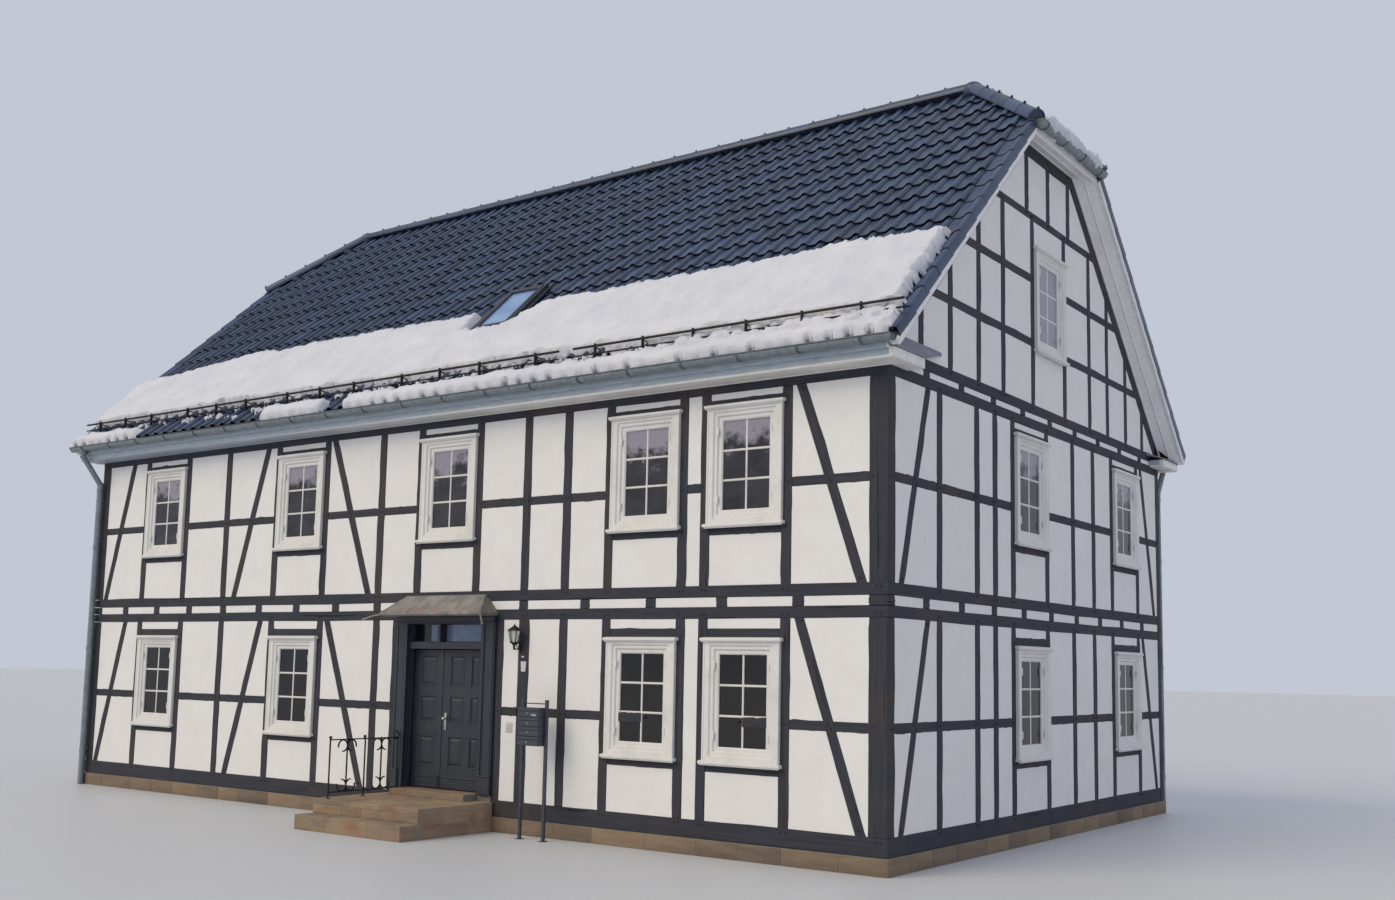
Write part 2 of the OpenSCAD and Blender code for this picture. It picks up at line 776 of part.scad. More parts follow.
module door_steps() {
    w = doorway_w + 120;
    color(stone_col) at_front() {
        translate([door_x - w / 2, -landing_out, 0]) cube([w, landing_out - plinth_out, landing_z]);
        translate([door_x - w / 2, -landing_out - step_run, 0]) cube([w, step_run, step_up]);
        translate([jamb_l, -threshold_out, landing_z])
            cube([door_clear_w, threshold_out, floor_one_z - landing_z]);
        translate([door_x - doorway_w / 2, 0, plinth_h])
            cube([doorway_w, wall_t, floor_one_z - plinth_h]);
    }
}

bar_w = 16;
scroll_r = 85;
railing_in = 150;

// A ring of flat bar with an opening that faces along a given direction.
module scroll(r, facing) {
    difference() {
        circle(r = r);
        circle(r = r - bar_w);
        rotate(facing) translate([0, -r * 0.55]) square([2 * r, r * 1.1]);
    }
}

// Wrought-iron railing beside the landing: a handrail that curls over at its foot end, and scrolls.
module step_railing() {
    x = door_x - doorway_w / 2 + railing_in;
    y0 = -landing_out + 60;
    y1 = -door_casing_out - 30;
    low = 80;
    top = railing_h - bar_w;
    color(iron_col) at_front() translate([x - bar_w / 2, 0, landing_z]) rotate([90, 0, 90])
        linear_extrude(bar_w) {
            for (y = [y0, (y0 + y1) / 2, y1 - bar_w]) translate([y, 0]) square([bar_w, railing_h]);
            for (z = [low, top]) translate([y0, z]) square([y1 - y0, bar_w]);
            for (y = [y0 + (y1 - y0) / 4, y1 - (y1 - y0) / 4], s = [-1, 1]) {
                translate([y + s * (scroll_r - bar_w / 2), top - scroll_r + bar_w / 2])
                    scroll(scroll_r, s > 0 ? -50 : 230);
                translate([y + s * (scroll_r - bar_w / 2), low + scroll_r + bar_w / 2])
                    scroll(scroll_r, s > 0 ? 50 : 130);
                translate([y - bar_w / 2, low]) square([bar_w, top - low]);
            }
            translate([y1 - 45, top + 45]) scroll(45 + bar_w, 210);
        }
}

// Nodes: roof.
module under_skin(depth) {
    wide = half_dep + eave_out + wall_t;
    long = half_len + verge_out + wall_t;
    intersection() {
        translate([-long, 0, 0]) rotate([90, 0, 90]) linear_extrude(2 * long) polygon([
            [-wide, low_z], [wide, low_z], [wide, roof_z(half_dep - wide, depth)],
            [0, ridge_z(depth)], [-wide, roof_z(half_dep - wide, depth)]
        ]);
        translate([0, wide, 0]) rotate([90, 0, 0]) linear_extrude(2 * wide) polygon([
            [-long, low_z], [long, low_z], [long, hip_z(half_len - long, depth)],
            [ridge_end(0), hip_z(half_len - ridge_end(0), depth)],
            [-ridge_end(0), hip_z(half_len - ridge_end(0), depth)],
            [-long, hip_z(half_len - long, depth)]
        ]);
    }
}

// The boards that carry the gutters, and the level of a gutter's rim.
eaves_board = cornice_out + fascia_out;
hip_board = verge_out - verge_back;
rim_drop = 80;
drip_gap = 12;
gutter_z = roof_z(-eave_out, 0) - rim_drop;
hip_gutter_z = hip_z(-verge_out, 0) - rim_drop;

// Plan of a roof face, seen from above.
eave_y = half_dep + eave_out;
verge_x = half_len + verge_out;
hip_corner_y = half_dep - (hip_z(-verge_out, 0) - roof_z(0, 0)) / slope;

module face_plan(side) {
    linear_extrude(2 * ridge_z(0)) {
        if (side == "front" || side == "back") {
            s = side == "front" ? -1 : 1;
            polygon([
                [-verge_x, s * eave_y], [verge_x, s * eave_y], [verge_x, s * hip_corner_y],
                [ridge_end(0), 0], [-ridge_end(0), 0], [-verge_x, s * hip_corner_y]
            ]);
        } else {
            s = side == "right" ? 1 : -1;
            polygon([[s * verge_x, -hip_corner_y], [s * verge_x, hip_corner_y], [s * ridge_end(0), 0]]);
        }
    }
}

// Room for the gutters under the outermost edge of the tiles.
module gutter_room() {
    for (s = [-1, 1]) {
        translate([-verge_x - 1, s > 0 ? half_dep + eaves_board : -eave_y - 1, 0])
            cube([2 * verge_x + 2, eave_y + 1 - half_dep - eaves_board, gutter_z + drip_gap]);
        translate([s > 0 ? half_len + hip_board : -verge_x - 1, -hip_corner_y, 0])
            cube([verge_x + 1 - half_len - hip_board, 2 * hip_corner_y, hip_gutter_z + drip_gap]);
    }
}

module inside_walls() {
    translate([-half_len, -half_dep, 0]) cube([house_len, house_dep, 2 * ridge_z(0)]);
}

// The pantiles lie in whole columns from verge to verge, each with a roll along its right side.
tile_columns = round(2 * verge_x / tile_w);
tile_cover = 2 * verge_x / tile_columns;
roll_flank = 0.32;

// Outline of the tiles across a roof face, seen up the slope, with its first column at x0.
module roll_outline(x0, columns) {
    deep = 2 * half_dep;
    polygon(concat(
        [for (i = [1:columns], p = [[roll_w, -roll_h], [(1 - roll_flank) * roll_w, 0],
            [roll_flank * roll_w, 0], [0, -roll_h]]) [x0 + i * tile_cover - p[0], p[1]]],
        [[x0 + columns * tile_cover, -deep], [x0, -deep], [x0, -roll_h]]
    ));
}

// Everything under the rolled surface of one roof face.
module under_rolls(side) {
    hip = side == "right" || side == "left";
    columns = hip ? ceil(2 * hip_corner_y / tile_cover) : tile_columns;
    long = 2 * half_dep;
    turn = side == "front" ? 0 : side == "back" ? 180 : side == "right" ? 90 : -90;
    rotate(turn)
        translate([0, hip ? -half_len : -half_dep, hip ? hip_z(0, 0) : roof_z(0, 0)])
        rotate([hip ? hip_pitch : roof_pitch, 0, 0]) translate([0, long, 0]) rotate([90, 0, 0])
        linear_extrude(1.5 * long) roll_outline(-columns * tile_cover / 2, columns);
}

module roof_face(side) {
    intersection() {
        difference() {
            under_skin(0);
            under_skin(tile_layer);
            gutter_room();
        }
        face_plan(side);
        under_rolls(side);
    }
    intersection() {
        difference() {
            under_skin(tile_layer);
            under_skin(roof_t);
        }
        face_plan(side);
        inside_walls();
    }
}

window_behind = 1230;
roof_window_at = 7170;

// Frame of reference on the tiles of the front slope: x along, y up the slope, z out of it.
module on_front_slope(from_right, behind_wall) {
    translate([along(from_right), behind_wall - half_dep, roof_z(behind_wall, 0)])
        rotate([roof_pitch, 0, 0]) children();
}

module front_roof() {
    color(tile_col) difference() {
        roof_face("front");
        on_front_slope(roof_window_at, window_behind)
            translate([-roof_window_w / 2, -roof_window_l / 2, -2 * roof_t])
                cube([roof_window_w, roof_window_l, 3 * roof_t]);
    }
}

module back_roof() { color(tile_col) roof_face("back"); }
module right_half_hip() { color(tile_col) roof_face("right"); }
module left_half_hip() { color(tile_col) roof_face("left"); }

// Round tiles along the ridge and down the hips, each line with flats of one step.
cap_step = 15;

module cap_line(long) {
    rotate([90, 0, 90]) linear_extrude(long)
        polygon([for (a = [0:cap_step:360 - cap_step]) ridge_r * [cos(a), sin(a)]]);
}

module ridge_tiles() {
    hip_dx = verge_x - ridge_end(0);
    hip_dz = ridge_z(0) - hip_z(-verge_out, 0);
    hip_run = norm([hip_dx, hip_corner_y]);
    color(tile_col) difference() {
        union() {
            translate([-ridge_end(0), 0, ridge_z(0) - ridge_sink]) cap_line(2 * ridge_end(0));
            for (sx = [-1, 1], sy = [-1, 1]) {
                translate([sx * ridge_end(0), 0, ridge_z(0) - ridge_sink])
                    rotate([0, atan2(hip_dz, hip_run), atan2(sy * hip_corner_y, sx * hip_dx)])
                    cap_line(norm([hip_run, hip_dz]) - cap_step);
            }
        }
        under_skin(0);
    }
}

// Everything under the soffit of a verge: the soffit rises outwards from the wall to its edge board.
module under_rake() {
    deep = 2 * half_dep;
    translate([half_len, -half_dep, roof_z(0, 0)]) rotate([roof_pitch, 0, 0])
        translate([0, 2 * deep, 0]) rotate([90, 0, 0]) linear_extrude(3 * deep) polygon([
            [0, -deep], [hip_board, -deep], [hip_board, -verge_edge_t], [0, -roof_t]
        ]);
}

module under_soffit() {
    intersection() {
        under_rake();
        mirror([0, 1, 0]) under_rake();
        translate([half_len, eave_y, 0]) rotate([90, 0, 0]) linear_extrude(2 * eave_y) polygon([
            [0, low_z], [hip_board, low_z], [hip_board, hip_z(-hip_board, verge_edge_t)], [0, gable_top_z]
        ]);
    }
}

// White boarded box under the tiles at a gable. Its feet stand on the covers of the cornice returns.
module verge_box() {
    reach = half_dep + eaves_board;
    color(white_col) intersection() {
        difference() {
            under_skin(tile_layer);
            under_soffit();
        }
        translate([half_len, reach, 0]) rotate([90, 0, 0]) linear_extrude(2 * reach) polygon([
            [0, cover_top_z + seat], [return_out, cover_edge_z + seat], [hip_board, cover_edge_z + seat],
            [hip_board, 2 * ridge_z(0)], [0, 2 * ridge_z(0)]
        ]);
    }
}

cornice_z = upper_z1 + plate_h - 25;
cover_h = 250;
cover_edge_h = 12;
cover_edge_z = cornice_z + cornice_h + cover_edge_h;
cover_top_z = cornice_z + cornice_h + cover_h;

module right_verge() { verge_box(); }
module left_verge() { mirror([1, 0, 0]) verge_box(); }

// Cornice along a long wall, seen in section, with short returns round the gables.
// The cover of a return slopes up to the wall and runs on to a point there.
module cornice() {
    board_z = cornice_z + cornice_h;
    translate([-half_len, 0, 0]) rotate([90, 0, 90]) linear_extrude(house_len) polygon([
        [0, cornice_z], [0, roof_z(0, tile_layer) - seat],
        [-eaves_board, roof_z(-eaves_board, tile_layer) - seat],
        [-eaves_board, board_z], [-cornice_out, board_z], [-cornice_out, cornice_z]
    ]);
    for (s = [0, 1]) mirror([s, 0, 0]) {
        translate([half_len, -cornice_out, cornice_z])
            cube([return_out, cornice_out + return_len, cornice_h]);
        intersection() {
            translate([half_len, cover_tip, 0]) rotate([90, 0, 0])
                linear_extrude(cover_tip + cornice_out) polygon([
                    [0, board_z], [return_out, board_z], [return_out, cover_edge_z], [0, cover_top_z]
                ]);
            translate([half_len, -cornice_out, 0]) linear_extrude(2 * ridge_z(0)) polygon([
                [0, 0], [return_out, 0], [return_out, cornice_out + return_len],
                [0, cornice_out + cover_tip]
            ]);
            translate([half_len, 0, 0]) rotate([90, 0, 90]) linear_extrude(return_out) polygon([
                [-cornice_out, cornice_z], [cover_tip, cornice_z],
                [cover_tip, roof_z(cover_tip, tile_layer) - seat],
                [-cornice_out, roof_z(-cornice_out, tile_layer) - seat]
            ]);
        }
    }
}

module front_cornice() { color(white_col) at_front() cornice(); }
module back_cornice() { color(white_col) at_back() cornice(); }

// Half-round gutters hung on the eaves boards, along the long walls and under the half-hips.
gutter_y = -eaves_board - gutter_r;

module trough(long) {
    translate([-long / 2, 0, 0]) rotate([90, 0, 90]) linear_extrude(long) difference() {
        circle(r = gutter_r);
        circle(r = gutter_r - gutter_t);
        translate([-gutter_r, 0]) square([2 * gutter_r, gutter_r]);
    }
}

module gutters() {
    color(zinc_col) {
        for (a = [0, 180]) rotate(a) {
            translate([0, gutter_y - half_dep, gutter_z]) trough(2 * verge_x - 100);
            translate([half_len + hip_board + gutter_r, 0, hip_gutter_z]) rotate(90) trough(2 * hip_corner_y);
        }
    }
}

pipe_y = -pipe_r - 30;
pipe_top = cornice_z - 420;
neck_top = gutter_z - gutter_r - 90;
collar = 6;

// Downpipe on the wall, with a swan neck out to the outlet under the gutter.
module downpipe() {
    run = pipe_y - gutter_y;
    rise = neck_top - pipe_top;
    translate([pipe_r - half_len, 0, 0]) {
        translate([0, pipe_y, 0]) cylinder(r = pipe_r, h = pipe_top);
        translate([0, pipe_y, pipe_top]) sphere(r = pipe_r + collar);
        translate([0, pipe_y, pipe_top]) rotate([atan2(run, rise), 0, 0])
            cylinder(r = pipe_r - collar / 2, h = sqrt(run * run + rise * rise));
        translate([0, gutter_y, neck_top]) sphere(r = pipe_r + collar);
        translate([0, gutter_y, neck_top]) cylinder(r = pipe_r - collar, h = gutter_z - gutter_r - neck_top);
        for (z = [600, 2900, pipe_top - 300]) {
            translate([-pipe_r / 2, pipe_y + pipe_r - collar, z]) cube([pipe_r, -pipe_y - pipe_r + collar, 30]);
        }
    }
}

module downpipes() { color(zinc_col) { at_front() downpipe(); at_back() downpipe(); } }

guard_behind = -130;
guard_side = 300;
guard_bar = 22;
bracket_t = 8;

// The crown of the roll that lies nearest to a place along the front.
function crown_x(x) = round((x + verge_x) / tile_cover) * tile_cover - verge_x - roll_w / 2;

// One length of the guard between two places along the front, with its brackets on the rolls.
module guard_section(x0, x1, count) {
    translate([0, guard_behind - half_dep, roof_z(guard_behind, 0)]) rotate([roof_pitch, 0, 0]) {
        for (h = [guard_h * 0.45, guard_h]) {
            translate([x0, -guard_bar / 2, h - guard_bar]) cube([x1 - x0, guard_bar, guard_bar]);
        }
        for (i = [0:count - 1]) {
            translate([crown_x(x0 + (i + 0.5) * (x1 - x0) / count) - bracket_t / 2, -guard_bar / 2, 0])
                cube([bracket_t, guard_bar, guard_h - guard_bar]);
        }
    }
}

module snow_guard() {
    color(iron_col) {
        guard_section(along(4600), half_len + guard_side, 6);
        guard_section(-half_len - guard_side, along(4860), 13);
    }
}

roof_window_up = 60;

module roof_window() {
    color(zinc_col) on_front_slope(roof_window_at, window_behind) {
        translate([-roof_window_w / 2, -roof_window_l / 2, -tile_layer])
            cube([roof_window_w, roof_window_l, tile_layer + roof_window_up]);
    }
}

lantern_out = 120;
lantern_side = 460;

module wall_lantern() {
    z = ground_z1 - 380;
    x = door_x + doorway_w / 2 + lantern_side;
    color(iron_col) at_front() translate([x, 0, z]) {
        translate([0, -lantern_out, 60]) cylinder(r1 = 50, r2 = 80, h = lantern_h - 60, $fn = 6);
        translate([0, -lantern_out, lantern_h]) cylinder(r1 = 100, r2 = 12, h = 80, $fn = 6);
        translate([-10, -lantern_out, 0]) cube([20, lantern_out, 20]);
        translate([-10, -lantern_out - 10, 0]) cube([20, 20, 60]);
        translate([-25, -12, -60]) cube([50, 12, 140]);
    }
}

letter_at = 4970;
letter_stand_h = 1790;
letter_top_z = 1695;

module letter_box() {
    x = along(letter_at);
    y = -450;
    color([0.16, 0.18, 0.21]) at_front() {
        translate([x - letter_w / 2, y, letter_top_z - letter_h]) cube([letter_w, letter_d, letter_h]);
        for (s = [-1, 1]) {
            translate([x + s * (letter_w / 2 + 20) - 20, y + letter_d - 40, 0]) cube([40, 40, letter_stand_h]);
        }
    }
}

stone_plinth();
ground_floor();
upper_floor();
attic_floor();
front_left_frame();
front_right_frame();
front_upper_frame();
back_frame();
right_gable_frame();
left_gable_frame();
front_left_infill();
front_right_infill();
front_upper_infill();
back_infill();
right_gable_infill();
left_gable_infill();
front_window_frames();
back_window_frames();
right_window_frames();
left_window_frames();
front_window_glass();
back_window_glass();
right_window_glass();
left_window_glass();
door_frame();
transom_glass();
narrow_door_leaf();
wide_door_leaf();
door_handles();
door_canopy();
door_steps();
step_railing();
front_roof();
back_roof();
right_half_hip();
left_half_hip();
ridge_tiles();
right_verge();
left_verge();
front_cornice();
back_cornice();
gutters();
downpipes();
snow_guard();
roof_window();
wall_lantern();
letter_box();
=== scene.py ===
import math
import random

import bpy
import numpy as np
from mathutils import Matrix, Vector, noise as cloud


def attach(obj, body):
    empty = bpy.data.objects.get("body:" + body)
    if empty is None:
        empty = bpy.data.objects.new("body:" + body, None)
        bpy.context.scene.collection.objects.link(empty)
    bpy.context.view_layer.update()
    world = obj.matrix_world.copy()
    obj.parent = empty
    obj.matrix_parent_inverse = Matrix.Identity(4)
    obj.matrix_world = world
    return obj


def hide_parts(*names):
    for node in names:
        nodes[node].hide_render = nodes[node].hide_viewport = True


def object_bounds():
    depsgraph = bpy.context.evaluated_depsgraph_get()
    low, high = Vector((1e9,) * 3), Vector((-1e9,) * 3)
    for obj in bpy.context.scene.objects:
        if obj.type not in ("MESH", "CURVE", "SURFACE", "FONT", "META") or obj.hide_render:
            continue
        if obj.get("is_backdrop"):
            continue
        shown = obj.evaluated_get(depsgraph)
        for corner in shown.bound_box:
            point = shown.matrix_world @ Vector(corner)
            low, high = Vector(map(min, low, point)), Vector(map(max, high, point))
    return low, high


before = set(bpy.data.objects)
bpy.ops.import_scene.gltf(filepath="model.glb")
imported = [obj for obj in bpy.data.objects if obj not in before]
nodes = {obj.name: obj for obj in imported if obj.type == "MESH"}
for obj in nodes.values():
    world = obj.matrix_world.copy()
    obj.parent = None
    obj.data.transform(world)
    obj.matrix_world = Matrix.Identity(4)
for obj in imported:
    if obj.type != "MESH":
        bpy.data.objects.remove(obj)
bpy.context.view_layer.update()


# The photograph's view: from well past the right-hand corner of the house, back along its entrance
# front. The picture was cropped at the foot, hence the shift. A pale floor and soft winter light.
EYE = (15.335, -18.61, 2.256)
YAW, PITCH, ROLL = 36.002, 6.372, 1.104
FOCAL_PX, CENTRE_X_PX, CENTRE_Y_PX = 1378.98, 696.9, 513.07
PICTURE_W, PICTURE_H = 1395, 900
FLOOR_COLOUR, SKY_COLOUR, SKY_STRENGTH = (0.60, 0.61, 0.64, 1), (0.82, 0.87, 1.0, 1), 0.66
SUN_COLOUR, SUN_STRENGTH, SUN_SPREAD, SUN_TILT, SUN_TURN = (1.0, 0.86, 0.6), 1.42, 40, 50, -25

camera = bpy.data.objects.new("camera", bpy.data.cameras.new("camera"))
bpy.context.scene.collection.objects.link(camera)
camera.matrix_world = (Matrix.Translation(EYE) @ Matrix.Rotation(math.radians(YAW), 4, "Z")
                       @ Matrix.Rotation(math.radians(90 + PITCH), 4, "X")
                       @ Matrix.Rotation(math.radians(ROLL), 4, "Z"))
camera.data.sensor_width = 36
camera.data.lens = FOCAL_PX * camera.data.sensor_width / PICTURE_W
camera.data.shift_x = (PICTURE_W / 2 - CENTRE_X_PX) / PICTURE_W
camera.data.shift_y = (CENTRE_Y_PX - PICTURE_H / 2) / PICTURE_W
camera.data.clip_end = 500
bpy.context.scene.camera = camera
bpy.context.scene.view_settings.view_transform = "Standard"

bpy.ops.mesh.primitive_plane_add(size=400, location=(0, 0, 0))
floor = bpy.context.object
floor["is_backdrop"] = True
floor_paint = bpy.data.materials.new("studio_floor")
floor_paint.use_nodes = True
floor_paint.node_tree.nodes["Principled BSDF"].inputs["Base Color"].default_value = FLOOR_COLOUR
floor.data.materials.append(floor_paint)
world = bpy.data.worlds.new("studio")
world.use_nodes = True
world.node_tree.nodes["Background"].inputs["Color"].default_value = SKY_COLOUR
world.node_tree.nodes["Background"].inputs["Strength"].default_value = SKY_STRENGTH
bpy.context.scene.world = world
sun = bpy.data.objects.new("sun", bpy.data.lights.new("sun", "SUN"))
bpy.context.scene.collection.objects.link(sun)
sun.data.energy = SUN_STRENGTH
sun.data.color = SUN_COLOUR
sun.data.angle = math.radians(SUN_SPREAD)
sun.rotation_euler = (math.radians(SUN_TILT), 0, math.radians(SUN_TURN))


# Stone plinth: a ring of dressed sandstone blocks laid in mortar on the footing, one course high.
# The cut node is the mortar; each block stands a few millimetres proud of it with worn edges.
def shade(red, green, blue):
    """A colour as a paint chart gives it, 0 to 255, made linear."""
    return tuple((c / 255 / 12.92 if c < 10.3 else ((c / 255 + 0.055) / 1.055) ** 2.4)
                 for c in (red, green, blue)) + (1.0,)


def put(kind, inputs, **settings):
    """A node in the material that feeds it, its sockets linked or set; gives back its outputs."""
    tree = next(v for v in inputs.values() if isinstance(v, bpy.types.NodeSocket)).id_data
    node = tree.nodes.new("ShaderNode" + kind)
    for name, value in settings.items():
        setattr(node, name, value)
    for name, value in inputs.items():
        if isinstance(value, bpy.types.NodeSocket):
            tree.links.new(value, node.inputs[name])
        else:
            node.inputs[name].default_value = value
    return node.outputs


def ramp(factor, *stops):
    """A run of colours, each (place, colour), along a value."""
    out = put("ValToRGB", {"Fac": factor})["Color"]
    band = out.node.color_ramp.elements
    while len(band) < len(stops):
        band.new(0.5)
    for element, (place, colour) in zip(band, stops):
        element.position = place
        element.color = colour
    return out


def grey(value):
    return value, value, value, 1.0


def tones(factor, dark, light, low=0.3, high=0.7):
    """Two colours of the paint chart, along a value."""
    return ramp(factor, (low, shade(*dark)), (high, shade(*light)))


def noise(where, scale, detail=4.0, stretch=None, rough=0.55):
    """Cloudy variation at so many clouds to the metre, drawn out by stretch."""
    if stretch:
        where = put("Mapping", {"Vector": where, "Scale": stretch})["Vector"]
    return put("TexNoise", {"Vector": where, "Scale": scale, "Detail": detail, "Roughness": rough})["Fac"]


def mixed(amount, one, other, how="MIX"):
    """One colour giving way to another by an amount."""
    return put("MixRGB", {"Fac": amount, "Color1": one, "Color2": other}, blend_type=how)["Color"]


def patched(tone, where, low, high, most, colour):
    """Patches of another colour on a tone, growing to their most where a value climbs from low to high."""
    return mixed(ramp(where, (low, grey(0)), (high, grey(most))), tone, shade(*colour))


def sums(how, one, other=0.0):
    """One step of reckoning with a value."""
    return put("Math", {0: one, 1: other}, operation=how)["Value"]


def times(value, factor):
    """The value made so many times as strong."""
    return sums("MULTIPLY", value, factor)


def between(value, low, high):
    """The value, which runs from 0 to 1, spread from low to high."""
    return put("MapRange", {"Value": value, "To Min": low, "To Max": high})["Result"]


def carried(material, name, kind="Fac"):
    """What the mesh itself carries under this name."""
    node = material.node_tree.nodes.new("ShaderNodeAttribute")
    node.attribute_name = name
    return node.outputs[kind]


def new_finish(name, roughness=0.6, metallic=0.0):
    """A material and the place that its patterns are drawn from."""
    material = bpy.data.materials.new(name)
    material.use_nodes = True
    surface = material.node_tree.nodes["Principled BSDF"].inputs
    surface["Roughness"].default_value = roughness
    surface["Metallic"].default_value = metallic
    return material, material.node_tree.nodes.new("ShaderNodeTexCoord").outputs["Object"]


def surface_of(material, colour, roughness, height, depth=0.004, strength=0.6):
    """Ties colour, roughness and relief to the surface."""
    relief = put("Bump", {"Height": height, "Distance": depth, "Strength": strength})["Normal"]
    for socket, value in (("Base Color", colour), ("Roughness", roughness), ("Normal", relief)):
        if value is not None:
            material.node_tree.links.new(value, material.node_tree.nodes["Principled BSDF"].inputs[socket])
    return material


def coat(name, roughness, metallic, pattern, dark, light, shine, depth, strength=0.6, low=0.3, high=0.7,
         dirt=None):
    """A finish whose two colours, shine and relief follow one pattern (scale, detail, stretch). Dirt is
    a second pattern, where it starts, where it is full, how strong it is there, and its colour."""
    material, spot = new_finish(name, roughness, metallic)
    cloudy = noise(spot, *pattern)
    tone = tones(cloudy, dark, light, low, high)
    if dirt:
        tone = patched(tone, noise(spot, *dirt[0]), *dirt[1:])
    return surface_of(material, tone, shine and between(cloudy, *shine), cloudy, depth, strength)


def only(*things):
    """These things are picked, and the first one is the one worked on."""
    bpy.ops.object.select_all(action="DESELECT")
    for thing in things:
        thing.select_set(True)
    bpy.context.view_layer.objects.active = things[0]


def fixed(piece, place=None):
    """The piece's place goes into its mesh."""
    only(piece)
    if place is not None:
        piece.matrix_world = place
    bpy.ops.object.transform_apply(location=True, rotation=True, scale=True)
    return piece


def work_on(piece):
    """The piece is opened in edit mode, with all of it picked."""
    only(piece)
    bpy.ops.object.mode_set(mode="EDIT")
    bpy.ops.mesh.select_all(action="SELECT")


def done():
    """Back out of edit mode."""
    bpy.ops.object.mode_set(mode="OBJECT")


def bevelled(piece, edge, segments=1):
    work_on(piece)
    bpy.ops.mesh.bevel(offset=edge, segments=segments)
    done()
    return piece


def block(corner, opposite, edge=0.0, segments=1):
    """A squared piece between two corners, with its edges taken off."""
    bpy.ops.object.select_all(action="DESELECT")
    bpy.ops.mesh.primitive_cube_add(size=1, location=[(a + b) / 2 for a, b in zip(corner, opposite)],
                                    scale=[abs(b - a) for a, b in zip(corner, opposite)])
    piece = fixed(bpy.context.object)
    return bevelled(piece, edge, segments) if edge else piece


def joined(parts):
    """Several modelled parts made one piece."""
    only(*parts)
    if len(parts) > 1:
        bpy.ops.object.join()
    return bpy.context.view_layer.objects.active


def smoothed(piece, degrees):
    """Rounded faces are shaded smooth, and edges sharper than so many degrees stay crisp."""
    only(piece)
    bpy.ops.object.shade_smooth_by_angle(angle=math.radians(degrees))
    return piece


def mark(mesh, name, values):
    """A number for each corner of a mesh, which a finish can read."""
    mesh.attributes.new(name, "FLOAT", "POINT").data.foreach_set("value", values)


def linked(name, mesh):
    piece = bpy.data.objects.new(name, mesh)
    bpy.context.scene.collection.objects.link(piece)
    return piece


def repeat(master, places, smooth=None, tints=None):
    """Copies of one modelled piece, one for each place, as one mesh; the master itself goes."""
    mesh = master.data
    count = len(mesh.vertices)
    corners = np.array([tuple(v.co) + (1.0,) for v in mesh.vertices])
    faces = [tuple(p.vertices) for p in mesh.polygons]
    all_corners = np.concatenate([corners @ np.array(place).T for place in places])[:, :3]
    all_faces = []
    for i, place in enumerate(places):
        turn = -1 if place.determinant() < 0 else 1
        all_faces += [tuple(v + i * count for v in face)[::turn] for face in faces]
    made = bpy.data.meshes.new("copies")
    made.from_pydata(all_corners.tolist(), [], all_faces)
    for layer in mesh.attributes:
        if layer.domain == "POINT" and layer.data_type == "FLOAT":
            mark(made, layer.name, np.tile([v.value for v in layer.data], len(places)))
    if tints is not None:
        mark(made, "tint", np.repeat(np.array(tints, np.float32), count))
    piece = linked("copies", made)
    bpy.data.objects.remove(master)
    return smoothed(piece, smooth) if smooth else piece


def settle(piece, name, finish, body="house", stands_for=()):
    """A finished piece gets its name, its finish and its place in the frame."""
    piece.name = piece.data.name = name
    piece.data.materials.clear()
    piece.data.materials.append(finish)
    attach(piece, body)
    if stands_for:
        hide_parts(*stands_for)


def finish_nodes(finish, *names):
    """A cut node keeps its shape and takes a finish."""
    for name in names:
        nodes[name].data.materials.clear()
        nodes[name].data.materials.append(finish)


HALF_L, HALF_D = 8.0, 4.85      # half the house's length and depth, to the faces of the walls


def at_wall(side):
    """Turns a wall's own frame, x along it, y into it and z up, to its side of the house."""
    turn, reach = {"front": (0, HALF_D), "back": (180, HALF_D), "right": (90, HALF_L),
                   "left": (-90, HALF_L)}[side]
    return Matrix.Rotation(math.radians(turn), 4, "Z") @ Matrix.Translation((0, -reach, 0))


STONE_H, STONE_PROUD, STONE_DEEP, STONE_JOINT = 0.2, 0.027, 0.05, 0.008
STONE_SHORT, STONE_LONG, STONE_LEAST = 0.5, 0.85, 0.3
chance = random.Random(11)
stone = block((-0.5, -STONE_PROUD, 0.004), (0.5, STONE_DEEP, STONE_H - 0.004), 0.01, 2)
places, tints = [], []
for side, half in (("front", 8.02), ("back", 8.02), ("right", 4.87), ("left", 4.87)):
    at = -half
    while at < half - 0.02:
        wide = min(chance.uniform(STONE_SHORT, STONE_LONG), half - at)
        wide = half - at if half - at - wide < STONE_LEAST else wide
        places.append(at_wall(side) @ Matrix.Translation((at + wide / 2, 0, 0))
                      @ Matrix.Diagonal((wide - STONE_JOINT, 1, 1, 1)))
        tints.append(chance.random())
        at += wide

plinth_stone, spot = new_finish("plinth_stone", 0.85)
grit = noise(spot, 60, 6)
patches = ramp(noise(spot, 2.2, 5, (1, 1, 6)), (0.3, shade(104, 92, 80)), (0.55, shade(142, 122, 100)),
               (0.75, shade(150, 140, 126)))
patches = mixed(0.5, patches, tones(carried(plinth_stone, "tint"), (92, 84, 78), (168, 140, 112), 0, 1))
patches = mixed(between(grit, 0, 0.5), patches, shade(88, 80, 72))
surface_of(plinth_stone, patches, None, grit)
settle(repeat(stone, places, 40, tints), "plinth_stones", plinth_stone)
mortar = coat("lime_mortar", 0.95, 0, (120, 5), (110, 106, 100), (150, 145, 136), None, 0.003)
finish_nodes(mortar, "stone_plinth")


